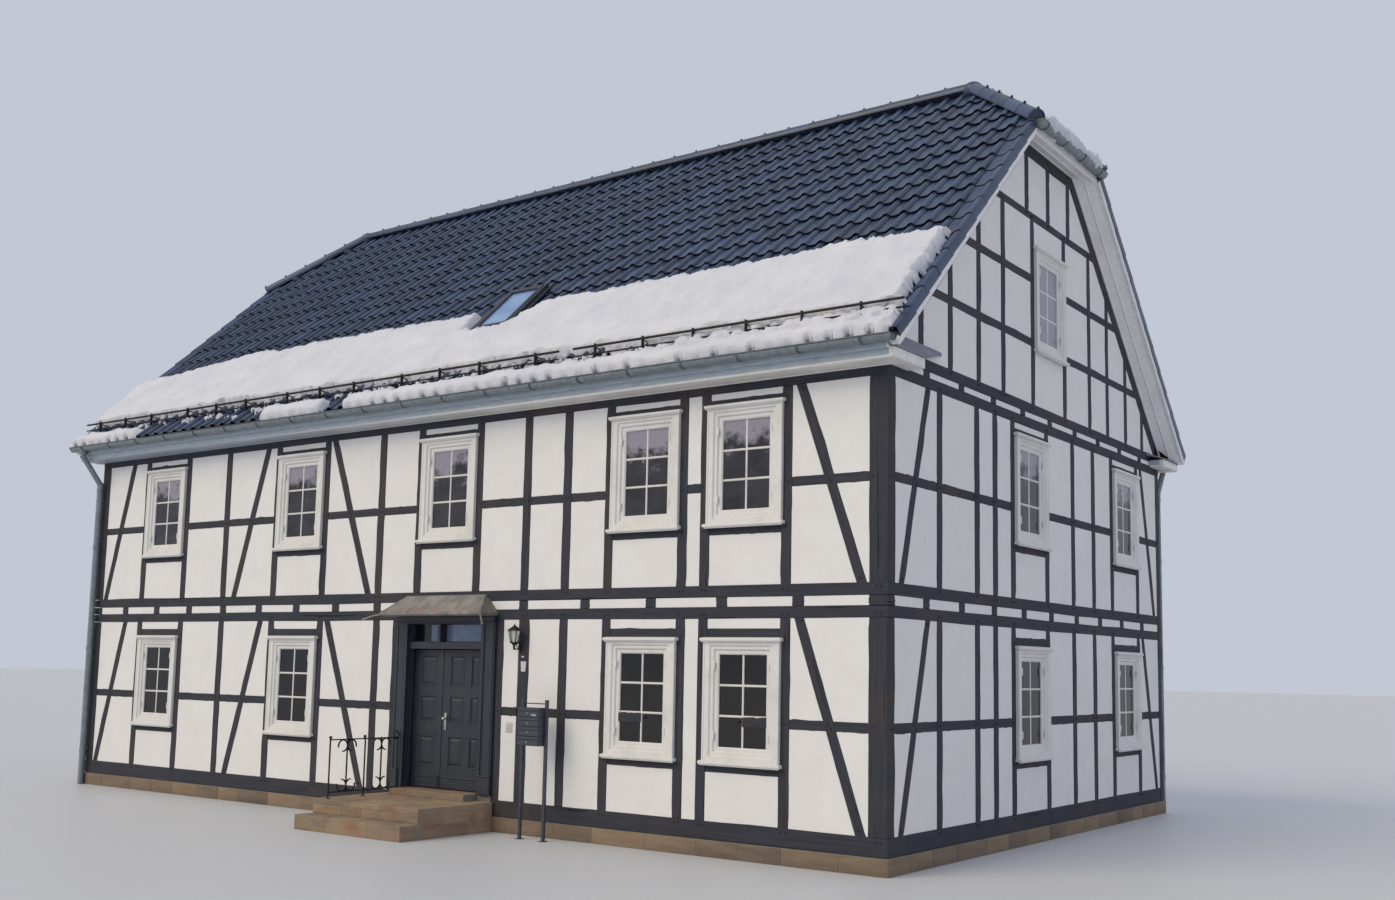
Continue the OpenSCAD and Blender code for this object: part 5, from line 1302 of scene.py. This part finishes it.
for y, low, high, edge in ((-4.93, TRANSOM_HIGH + 0.028, 2.897, 0.006),
                           (-4.915, TRANSOM_HIGH + 0.004, TRANSOM_HIGH + 0.03, 0.010)):
    parts.append(block((CASING_L - 0.002, y, low), (CASING_R + 0.002, REVEAL_FACE, high), edge, 2))
for y, low, high, edge in ((-4.795, 2.512, 2.537, 0.008), (-4.775, 2.490, 2.514, 0.006),
                           (-4.755, 2.452, 2.470, 0.004)):
    parts.append(block((DOOR_L, y, low), (DOOR_R, TRANSOM_FACE + 0.012, high), edge, 2))
parts.append(block((MEETING_X - 0.019, TRANSOM_FACE - 0.035, TRANSOM_LOW - 0.002),
                   (MEETING_X + 0.019, TRANSOM_FACE + 0.012, TRANSOM_HIGH), 0.007, 2))
for a, b in ((DOOR_L, MEETING_X - 0.0225), (MEETING_X + 0.0225, DOOR_R)):
    stop = block((a, TRANSOM_FACE - 0.014, TRANSOM_LOW), (b, TRANSOM_FACE - 0.001, TRANSOM_HIGH))
    pick_faces(stop, lambda c, n: abs(n.y) > 0.9)
    stepped((0.013, 0))
    bpy.ops.mesh.bridge_edge_loops()
    done()
    parts.append(stop)
settle(joined(parts), "doorway_mouldings", door_paint)

# Transom glass: a painted reflection of the sky in two blues, with its left part painted dark as shade.
transom_painted_sky, spot = new_finish("transom_painted_sky", 0.08)
wave = noise(spot, 4, 4)
bend = sums("ADD", put("SeparateXYZ", {"Vector": spot})["X"], times(wave, 0.05))
pane = mixed(ramp(bend, (0.600, grey(0)), (0.612, grey(1))), shade(24, 26, 30),
             tones(wave, (100, 118, 150), (124, 142, 170)))
surface_of(transom_painted_sky, pane, between(wave, 0.05, 0.12), wave, 0.004, 0.2)
finish_nodes(transom_painted_sky, "transom_glass")


# Door leaves: framed oak leaves of unequal width, each panel raised and fielded inside a moulded
# groove, with a stepped kick board. Each hangs on three butt hinges on its inner face.
LEAF_FRONT, LEAF_INNER, LEAF_FOOT, LEAF_HEAD = -4.73, -4.68, 0.487, 2.432
PANEL_ROWS = ((0.787, 1.2175), (1.4075, 1.7765), (1.9165, 2.347))
NARROW_COLUMNS, WIDE_COLUMNS = ((0.392, 0.721),), ((0.993, 1.2751), (1.4051, 1.578))
PANEL_STEPS = ((0.003, 0.004), (0.007, 0.0), (0.005, -0.008), (0.004, -0.002), (0.004, -0.006), (0.005, 0.0),
               (0.036, 0.011), (0.002, 0.002))
KICK_STEPS = ((-4.742, 0.497, 0.640, 0.004), (-4.750, 0.636, 0.662, 0.008), (-4.746, 0.560, 0.572, 0.004))
HINGE_Y, HINGE_AT = -4.67, (0.687, 1.4595, 2.232)
KNUCKLE_R, KNUCKLE_H, PLATE_OUT, PLATE_IN = 0.007, 0.042, 0.038, 0.005


def stud(x, z, y0, y1, radius, corners=10, top=0.003):
    """A round piece that stands out of a face, from y0 to y1."""
    return rod((x, y0, z), (x, y1, z), radius, corners, top)


def door_leaf(x0, x1, columns, pin_x, s):
    """One leaf with its raised panels on both faces, its kick board and its half of the hinges."""
    leaf = block((x0, LEAF_FRONT, LEAF_FOOT), (x1, LEAF_INNER, LEAF_HEAD))
    work_on(leaf)
    for through, normal in ([((x, 0, 0), (1, 0, 0)) for span in columns for x in span]
                            + [((0, 0, z), (0, 0, 1)) for row in PANEL_ROWS for z in row]):
        bpy.ops.mesh.select_all(action="SELECT")
        bpy.ops.mesh.bisect(plane_co=through, plane_no=normal)
    pick_faces(leaf, lambda c, n: abs(n.y) > 0.9 and any(a < c.x < b for a, b in columns)
               and any(a < c.z < b for a, b in PANEL_ROWS))
    stepped(*PANEL_STEPS, use_individual=True)
    done()
    parts = [leaf] + [block((x0 + 0.03, y, low), (x1 - 0.03, LEAF_FRONT + 0.002, high), edge, 2)
                      for y, low, high, edge in KICK_STEPS]
    for z in HINGE_AT:
        near, back, low = pin_x + s * (KNUCKLE_R + 0.0005), LEAF_INNER + PLATE_IN, z + KNUCKLE_H + 0.0005
        high = low + KNUCKLE_H - 0.001
        parts += [block((near, LEAF_INNER, z), (near + s * PLATE_OUT, back, z + 3 * KNUCKLE_H), 0.001),
                  upright(pin_x, HINGE_Y, low, high, KNUCKLE_R, 16),
                  block((pin_x, LEAF_INNER, low), (pin_x + s * (KNUCKLE_R + 0.001), back, high))]
        parts += [stud(pin_x + s * 0.028, z + up, LEAF_INNER + 0.003, LEAF_INNER + 0.0065, 0.005)
                  for up in (0.02, 0.063, 0.106)]
    return joined(parts)


settle(door_leaf(0.262, 0.851, NARROW_COLUMNS, 0.256, 1), "narrow_leaf_panels", door_paint,
       "narrow_leaf", ("narrow_door_leaf",))
settle(door_leaf(0.863, 1.708, WIDE_COLUMNS, 1.714, -1), "wide_leaf_panels", door_paint,
       "wide_leaf", ("wide_door_leaf",))


# Lock furniture: a pair of long nickel plates screwed through the wide leaf, with a turned knob
# outside, a lever inside and a keyhole in each.
HANDLE_X, HANDLE_Z, KNOB_UP, KNOB_R = 0.928, 1.425, 0.04, 0.026
PLATE_W, PLATE_H, PLATE_THICK, KNOB_Z = 0.046, 0.24, 0.008, HANDLE_Z + KNOB_UP
parts = []
for y, out in ((LEAF_FRONT, -1), (LEAF_INNER, 1)):
    face = y + out * PLATE_THICK
    parts.append(block((HANDLE_X - PLATE_W / 2, y, HANDLE_Z - PLATE_H / 2),
                       (HANDLE_X + PLATE_W / 2, face, HANDLE_Z + PLATE_H / 2), 0.0035, 2))
    for z, low, high, radius, corners, top in (
            (KNOB_Z, -0.001, 0.008, 0.019, 20, 0.014), (KNOB_Z, 0, 0.034, 0.009, 16, None),
            (HANDLE_Z - 0.055, -0.001, 0.005, 0.015, 20, 0.012),
            (HANDLE_Z - 0.105, -0.001, 0.002, 0.005, 10, 0.003),
            (HANDLE_Z + 0.105, -0.001, 0.002, 0.005, 10, 0.003)):
        parts.append(stud(HANDLE_X, z, face + out * low, face + out * high, radius, corners, top))
parts += [ball((HANDLE_X, LEAF_FRONT - 0.050, KNOB_Z), KNOB_R, 24, 14, (1, 0.72, 1)),
          bar((HANDLE_X - 0.008, LEAF_INNER + 0.044, KNOB_Z), (HANDLE_X + 0.115, LEAF_INNER + 0.040, KNOB_Z),
              0.014, 0.018, 0.005)]
worn_nickel = coat("worn_nickel", 0.3, 0.85, (50, 3), (160, 160, 156), (206, 206, 202), (0.2, 0.45), 0.0005)
settle(smoothed(joined(parts), 35), "lock_furniture", worn_nickel, "wide_leaf",
       ("door_handles",))


# Canopy: a small hipped roof of sheet over boards, spiked to the wall. Its sheets meet in rolls at
# the hips, its edge is folded down to a lip, and a short pipe at each end throws off the water.
CANOPY_L, CANOPY_R, CANOPY_FRONT, CANOPY_BACK = 0.0, 2.0, -5.2, -4.85
CANOPY_FOOT, CANOPY_EAVE, CANOPY_TOP, CANOPY_INSET, TOP_OUT, ROLL_R = 2.90, 2.94, 3.19, 0.215, 0.04, 0.008
SPOUTS = (((0.05, -5.195, 2.925), (-0.10, -5.24, 2.900), (-0.27, -5.27, 2.850)),
          ((1.985, -5.19, 2.930), (2.035, -5.215, 2.860), (2.065, -5.225, 2.795)))
canopy = block((CANOPY_L, CANOPY_FRONT, CANOPY_EAVE), (CANOPY_R, CANOPY_BACK, CANOPY_TOP))
pick_faces(canopy, lambda c, n: n.z > 0.9)
bpy.ops.transform.resize(value=((CANOPY_R - CANOPY_L - 2 * CANOPY_INSET) / (CANOPY_R - CANOPY_L),
                                TOP_OUT / 0.35, 1),
                         center_override=((CANOPY_L + CANOPY_R) / 2, CANOPY_BACK, CANOPY_TOP))
bpy.ops.mesh.select_all(action="SELECT")
bpy.ops.mesh.subdivide(number_cuts=12)
done()
for v in canopy.data.vertices:
    if v.co.y < CANOPY_BACK - 0.002 and v.co.z > CANOPY_EAVE + 0.002:
        v.co += Vector((0, -0.6, 0.8)) * 0.004 * cloud.noise(Vector((v.co.x * 5, v.co.y * 9, v.co.z * 9)))
parts = [canopy, block((CANOPY_L + 0.012, CANOPY_FRONT + 0.012, CANOPY_FOOT),
                       (CANOPY_R - 0.012, CANOPY_BACK, CANOPY_EAVE + 0.002), 0.003)]
for x0, y0, x1 in ((CANOPY_L, CANOPY_FRONT, CANOPY_R), (CANOPY_L, CANOPY_BACK, CANOPY_L),
                   (CANOPY_R, CANOPY_BACK, CANOPY_R)):
    lip_z, roll_z = CANOPY_EAVE - 0.011, CANOPY_EAVE + 0.006
    parts += [bar((x0, y0, lip_z), (x1, CANOPY_FRONT, lip_z), 0.012, 0.034, 0.004),
              rod((x0, y0, roll_z), (x1, CANOPY_FRONT, roll_z), ROLL_R)]
for end, s in ((CANOPY_L, 1), (CANOPY_R, -1)):
    parts.append(rod((end, CANOPY_FRONT, CANOPY_EAVE + 0.004),
                     (end + s * CANOPY_INSET, CANOPY_BACK - TOP_OUT, CANOPY_TOP), ROLL_R))
for x in (0.52, 1.0, 1.48):
    at_top = CANOPY_L + CANOPY_INSET + (x - CANOPY_L) * 0.785
    parts.append(bar((x, CANOPY_FRONT + 0.004, CANOPY_EAVE + 0.002),
                     (at_top, CANOPY_BACK - TOP_OUT, CANOPY_TOP - 0.001), 0.02, 0.008, 0.002))
parts.append(block((CANOPY_L + CANOPY_INSET - 0.01, CANOPY_BACK - 0.045, CANOPY_TOP - 0.006),
                   (CANOPY_R - CANOPY_INSET + 0.01, CANOPY_BACK, CANOPY_TOP + 0.008), 0.004))
for run in SPOUTS:
    parts += [rod(a, b, 0.012, 12) for a, b in zip(run, run[1:])]
    last, tip = Vector(run[-2]), Vector(run[-1])
    parts.append(rod(tip, tip + (tip - last).normalized() * 0.02, 0.017, 14))
old_sheet, spot = new_finish("old_sheet", 0.6, 0.2)
place = put("SeparateXYZ", {"Vector": spot})
patina = noise(spot, 6, 7, (1, 1, 0.6))
sheet_tone = ramp(patina, (0.28, shade(112, 109, 106)), (0.5, shade(140, 137, 134)),
                  (0.72, shade(160, 157, 153)))
sheet_tone = patched(sheet_tone, noise(spot, 30, 5), 0.5, 0.75, 0.5, (122, 113, 104))
near_edge = ramp(climb(place["Z"], 2.94, 3.04), (0.0, grey(0)), (0.2, grey(1)), (0.45, grey(0.9)),
                 (1.0, grey(0)))
rust = mixed(ramp(noise(spot, 5, 4, (1, 1, 8)), (0.45, grey(0)), (0.6, grey(0.75))), grey(0), near_edge)
sheet_tone = mixed(rust, sheet_tone, shade(150, 118, 104))
sheet_tone = mixed(times(climb(place["X"], 1.72, 1.95), 0.55), sheet_tone, shade(104, 106, 92))
surface_of(old_sheet, sheet_tone, between(patina, 0.45, 0.75), patina, 0.002)
settle(smoothed(joined(parts), 35), "canopy_sheets", old_sheet, stands_for=("door_canopy",))


# Steps: a landing and one step of sandstone blocks and slabs laid in mortar, worn at the edges, with
# a threshold stone under the door that is stained red and yellow by iron and salt.
STEP_L, STEP_R, LANDING_FRONT, STEP_FRONT, LANDING_Z, STEP_Z = -0.03, 2.03, -6.2, -6.5, 0.385, 0.1925
PROUD, SLAB_T, SIDE_T, HOUSE_Y, STONE_GAP = 0.004, 0.07, 0.05, -4.872, 0.003
sandstone, spot = new_finish("sandstone", 0.85)
stone_tone = ramp(noise(spot, 2.5, 6, (1, 1, 4)), (0.3, shade(122, 110, 94)), (0.55, shade(158, 138, 114)),
                  (0.75, shade(146, 120, 100)))
stone_tone = mixed(0.4, stone_tone, tones(carried(sandstone, "tint"), (112, 102, 92), (176, 148, 118), 0, 1))
stone_tone = patched(stone_tone, noise(spot, 3.5, 5), 0.52, 0.72, 0.7, (142, 92, 74))
surface_of(sandstone, stone_tone, None, noise(spot, 50, 5))
finish_nodes(mortar, "door_steps")
parts = []


def stone_row(low, high, pieces=1, axis=0, shift=0.0):
    """Blocks side by side between two corners, along x or y, with open joints between them."""
    length = high[axis] - low[axis]
    cuts = [0.0] + [(k + shift * (1 if k % 2 else -1)) / pieces for k in range(1, pieces)] + [1.0]
    for start, end in zip(cuts, cuts[1:]):
        a, b = list(low), list(high)
        a[axis], b[axis] = low[axis] + length * start + STONE_GAP, low[axis] + length * end - STONE_GAP
        parts.append(block(a, b, 0.008, 2))
        mark(parts[-1].data, "tint", [chance.random()] * len(parts[-1].data.vertices))


left, right, slab_z = STEP_L - PROUD, STEP_R + PROUD, LANDING_Z - SLAB_T
for y0, y1, shift in ((LANDING_FRONT - PROUD, -5.76, 0.08), (-5.754, -5.32, -0.06), (-5.314, HOUSE_Y, 0.1)):
    stone_row((left, y0, slab_z), (right, y1, LANDING_Z + PROUD), 3, 0, shift)
stone_row((left, STEP_FRONT - PROUD, 0.002), (right, LANDING_FRONT - 0.002, STEP_Z + PROUD), 3, 0, -0.08)
stone_row((left, LANDING_FRONT - PROUD, STEP_Z + 0.006), (right, LANDING_FRONT + SIDE_T, slab_z - 0.004),
          4, 0, 0.1)
for x0, x1 in ((left, STEP_L + SIDE_T), (STEP_R - SIDE_T, right)):
    for low, high, shift in ((0.002, 0.155, 0.06), (0.159, slab_z - 0.004, -0.08)):
        stone_row((x0, LANDING_FRONT + 0.054, low), (x1, HOUSE_Y, high), 3, 1, shift)
stone_row((DOOR_L - 0.002, -5.114, LANDING_Z + 0.006), (DOOR_R + 0.002, -4.745, SILL_Z + 0.003))
stone_row((0.03, -4.846, LANDING_Z), (1.97, -4.668, SILL_Z + 0.001))
settle(joined(parts), "step_stones", sandstone)


# Railing: flat wrought-iron bars with scrolls, riveted together and let into the landing, painted
# black. The cut node is its bars; small balls and collars are forged on where they cross.
RAIL_X, RAIL_LOW, RAIL_TOP, RAIL_POSTS, RAIL_BARS = 0.18, 0.473, 1.177, (-6.13, -5.53), (-4.928, -5.83, -5.23)
finish_nodes(black_iron, "step_railing")
parts = [block((RAIL_X - 0.012, y - 0.012, z - 0.014), (RAIL_X + 0.012, y + 0.012, z + 0.014), 0.004)
         for y in RAIL_POSTS + RAIL_BARS for z in (RAIL_LOW, RAIL_TOP)]
for y in RAIL_POSTS:
    parts += [ball((RAIL_X, y, RAIL_TOP + 0.03), 0.022, 16, 10),
              block((RAIL_X - 0.03, y - 0.03, LANDING_Z + 0.002),
                    (RAIL_X + 0.03, y + 0.03, LANDING_Z + 0.012), 0.003)]
settle(joined(parts), "railing_collars", black_iron)


# Wall lantern: a six-sided lantern of cast iron with frosted panes, standing on a curled arm that is
# screwed to the post beside the door.
LANTERN_X, LANTERN_Y, PANES_LOW, PANES_HIGH, PANE_R_LOW, PANE_R_HIGH = 2.43, -4.97, 2.54, 2.695, 0.05, 0.08
ARM = ((-4.97, 2.478), (-4.945, 2.452), (-4.915, 2.446), (-4.885, 2.462), (-4.862, 2.492))
CURL = [(-4.90 + 0.026 * math.cos(t), 2.505 + 0.026 * math.sin(t))
        for t in [math.radians(20 + 40 * k) for k in range(8)]]
parts = []
for low, high, radius, top, corners in (
        (PANES_HIGH, PANES_HIGH + 0.014, 0.102, 0.098, 6),
        (PANES_HIGH + 0.012, PANES_HIGH + 0.055, 0.094, 0.034, 6),
        (PANES_HIGH + 0.053, PANES_HIGH + 0.068, 0.036, 0.018, 6),
        (PANES_LOW - 0.012, PANES_LOW + 0.002, 0.058, 0.062, 6),
        (PANES_LOW - 0.045, PANES_LOW - 0.010, 0.014, 0.045, 6),
        (2.760, 2.790, 0.009, 0.003, 12), (2.430, 2.500, 0.003, 0.013, 12)):
    parts.append(upright(LANTERN_X, LANTERN_Y, low, high, radius, corners, top))
for z, radius in ((2.768, 0.013), (2.452, 0.014), (2.480, 0.018)):
    parts.append(ball((LANTERN_X, LANTERN_Y, z), radius, 14, 8))
for turn in (math.radians(60 * i) for i in range(6)):
    corner = Vector((math.sin(turn), math.cos(turn), 0))
    low, high = Vector((LANTERN_X, LANTERN_Y, PANES_LOW)), Vector((LANTERN_X, LANTERN_Y, PANES_HIGH))
    parts.append(rod(low + corner * (PANE_R_LOW + 0.002), high + corner * (PANE_R_HIGH + 0.002), 0.006, 6))
for line, radius in ((ARM, 0.009), (CURL, 0.006)):
    parts += [rod((LANTERN_X, *a), (LANTERN_X, *b), radius) for a, b in zip(line, line[1:])]
parts.append(block((LANTERN_X - 0.022, -4.862, 2.41), (LANTERN_X + 0.022, -4.85, 2.55), 0.004, 2))
settle(smoothed(joined(parts), 32), "lantern_iron", black_iron, stands_for=("wall_lantern",))
frosted = coat("frosted_panes", 0.35, 0, (25, 4), (176, 177, 166), (214, 214, 204), (0.25, 0.5), 0.001)
settle(upright(LANTERN_X, LANTERN_Y, PANES_LOW, PANES_HIGH, PANE_R_LOW, 6, PANE_R_HIGH), "lantern_panes",
       frosted, stands_for=("wall_lantern",))


# Small plates by the door: a lamp's sensor and a bare enamel plate on the post, and a louvred grille
# on the plaster, each held by two screws.
POST_FACE, PLASTER_FACE = -4.8505, -4.842
plate = block((2.452, POST_FACE - 0.006, 2.150), (2.552, POST_FACE + 0.002, 2.288))
for v in plate.data.vertices:
    if v.co.z < 2.2:
        v.co.x += 0.012 if v.co.x < 2.5 else -0.012
parts = [bevelled(plate, 0.003, 2),
         block((2.474, POST_FACE - 0.02, 2.338), (2.516, POST_FACE + 0.002, 2.362), 0.006, 2)]
parts += [stud(2.502, z, POST_FACE - 0.005, POST_FACE - 0.008, 0.005) for z in (2.165, 2.273)]
parts.append(block((2.208, PLASTER_FACE - 0.006, 1.330), (2.330, PLASTER_FACE + 0.002, 1.470), 0.002))
for z in (1.352 + i * 0.022 for i in range(5)):
    parts.append(bar((2.222, PLASTER_FACE - 0.009, z), (2.316, PLASTER_FACE - 0.009, z), 0.010, 0.006, 0.001,
                     (0, -0.6, 0.8)))
enamel = coat("white_enamel", 0.35, 0, (40, 4), (196, 192, 190), (218, 215, 212), (0.25, 0.5), 0.0008,
              low=0.35, high=0.65)
settle(joined(parts), "door_side_plates", enamel)


# Letter boxes: four sheet-steel boxes screwed one above the other between two square posts, each with
# a flap, a small door and a round lock, powder-coated blue-grey. The top one has a bare name plate.
BOX_X, BOX_W, BOX_FACE, BOX_REAR, BOX_LOW, BOX_HIGH = 3.03, 0.37, -5.30, -5.15, 1.205, 1.695
BOX_H, LEFT, RIGHT = (BOX_HIGH - BOX_LOW) / 4, BOX_X - BOX_W / 2, BOX_X + BOX_W / 2
POST_TOP, LOCK_X = 1.79, 3.018
box_paint = coat("box_paint", 0.4, 0, (20, 4), (52, 60, 71), (66, 75, 86), (0.3, 0.5), 0.001,
                 dirt=((4, 5), 0.5, 0.8, 0.5, (82, 84, 88)))
parts, metal = [], []
for low in (BOX_LOW + i * BOX_H for i in range(4)):
    top, z = low + BOX_H, low + 0.048
    parts += [block((LEFT, BOX_FACE + 0.006, low + 0.001), (RIGHT, BOX_REAR, top - 0.001), 0.003),
              block((LEFT + 0.008, BOX_FACE, low + 0.006),
                    (RIGHT - 0.008, BOX_FACE + 0.008, low + 0.078), 0.002),
              block((LEFT + 0.004, BOX_FACE - 0.002, low + 0.081),
                    (RIGHT - 0.004, BOX_FACE + 0.008, top - 0.006), 0.002),
              bar((LEFT + 0.004, BOX_FACE - 0.004, low + 0.084),
                  (RIGHT - 0.004, BOX_FACE - 0.004, low + 0.084), 0.008, 0.006, 0.002)]
    metal += [stud(LOCK_X, z, BOX_FACE + 0.002, BOX_FACE - 0.007, 0.012, 16, 0.010),
              block((LOCK_X - 0.002, BOX_FACE - 0.0085, z - 0.005),
                    (LOCK_X + 0.002, BOX_FACE - 0.006, z + 0.005))]
for x in (LEFT - 0.02, RIGHT + 0.02):
    parts += [block((x - 0.02, BOX_REAR - 0.04, 0.0), (x + 0.02, BOX_REAR, POST_TOP), 0.003),
              block((x - 0.022, BOX_REAR - 0.042, POST_TOP - 0.012),
                    (x + 0.022, BOX_REAR + 0.002, POST_TOP + 0.004), 0.003),
              block((x - 0.045, BOX_REAR - 0.065, 0.0), (x + 0.045, BOX_REAR + 0.025, 0.008), 0.002)]
parts.append(bar((LEFT - 0.02, BOX_REAR - 0.02, 1.745), (RIGHT + 0.02, BOX_REAR - 0.02, 1.745),
                 0.014, 0.014, 0.003))
metal.append(block((3.085, BOX_FACE - 0.004, 1.588), (3.168, BOX_FACE + 0.002, 1.614), 0.0015))
settle(joined(parts), "letter_boxes", box_paint, stands_for=("letter_box",))
settle(joined(metal), "box_locks", worn_nickel, stands_for=("letter_box",))


low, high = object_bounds()
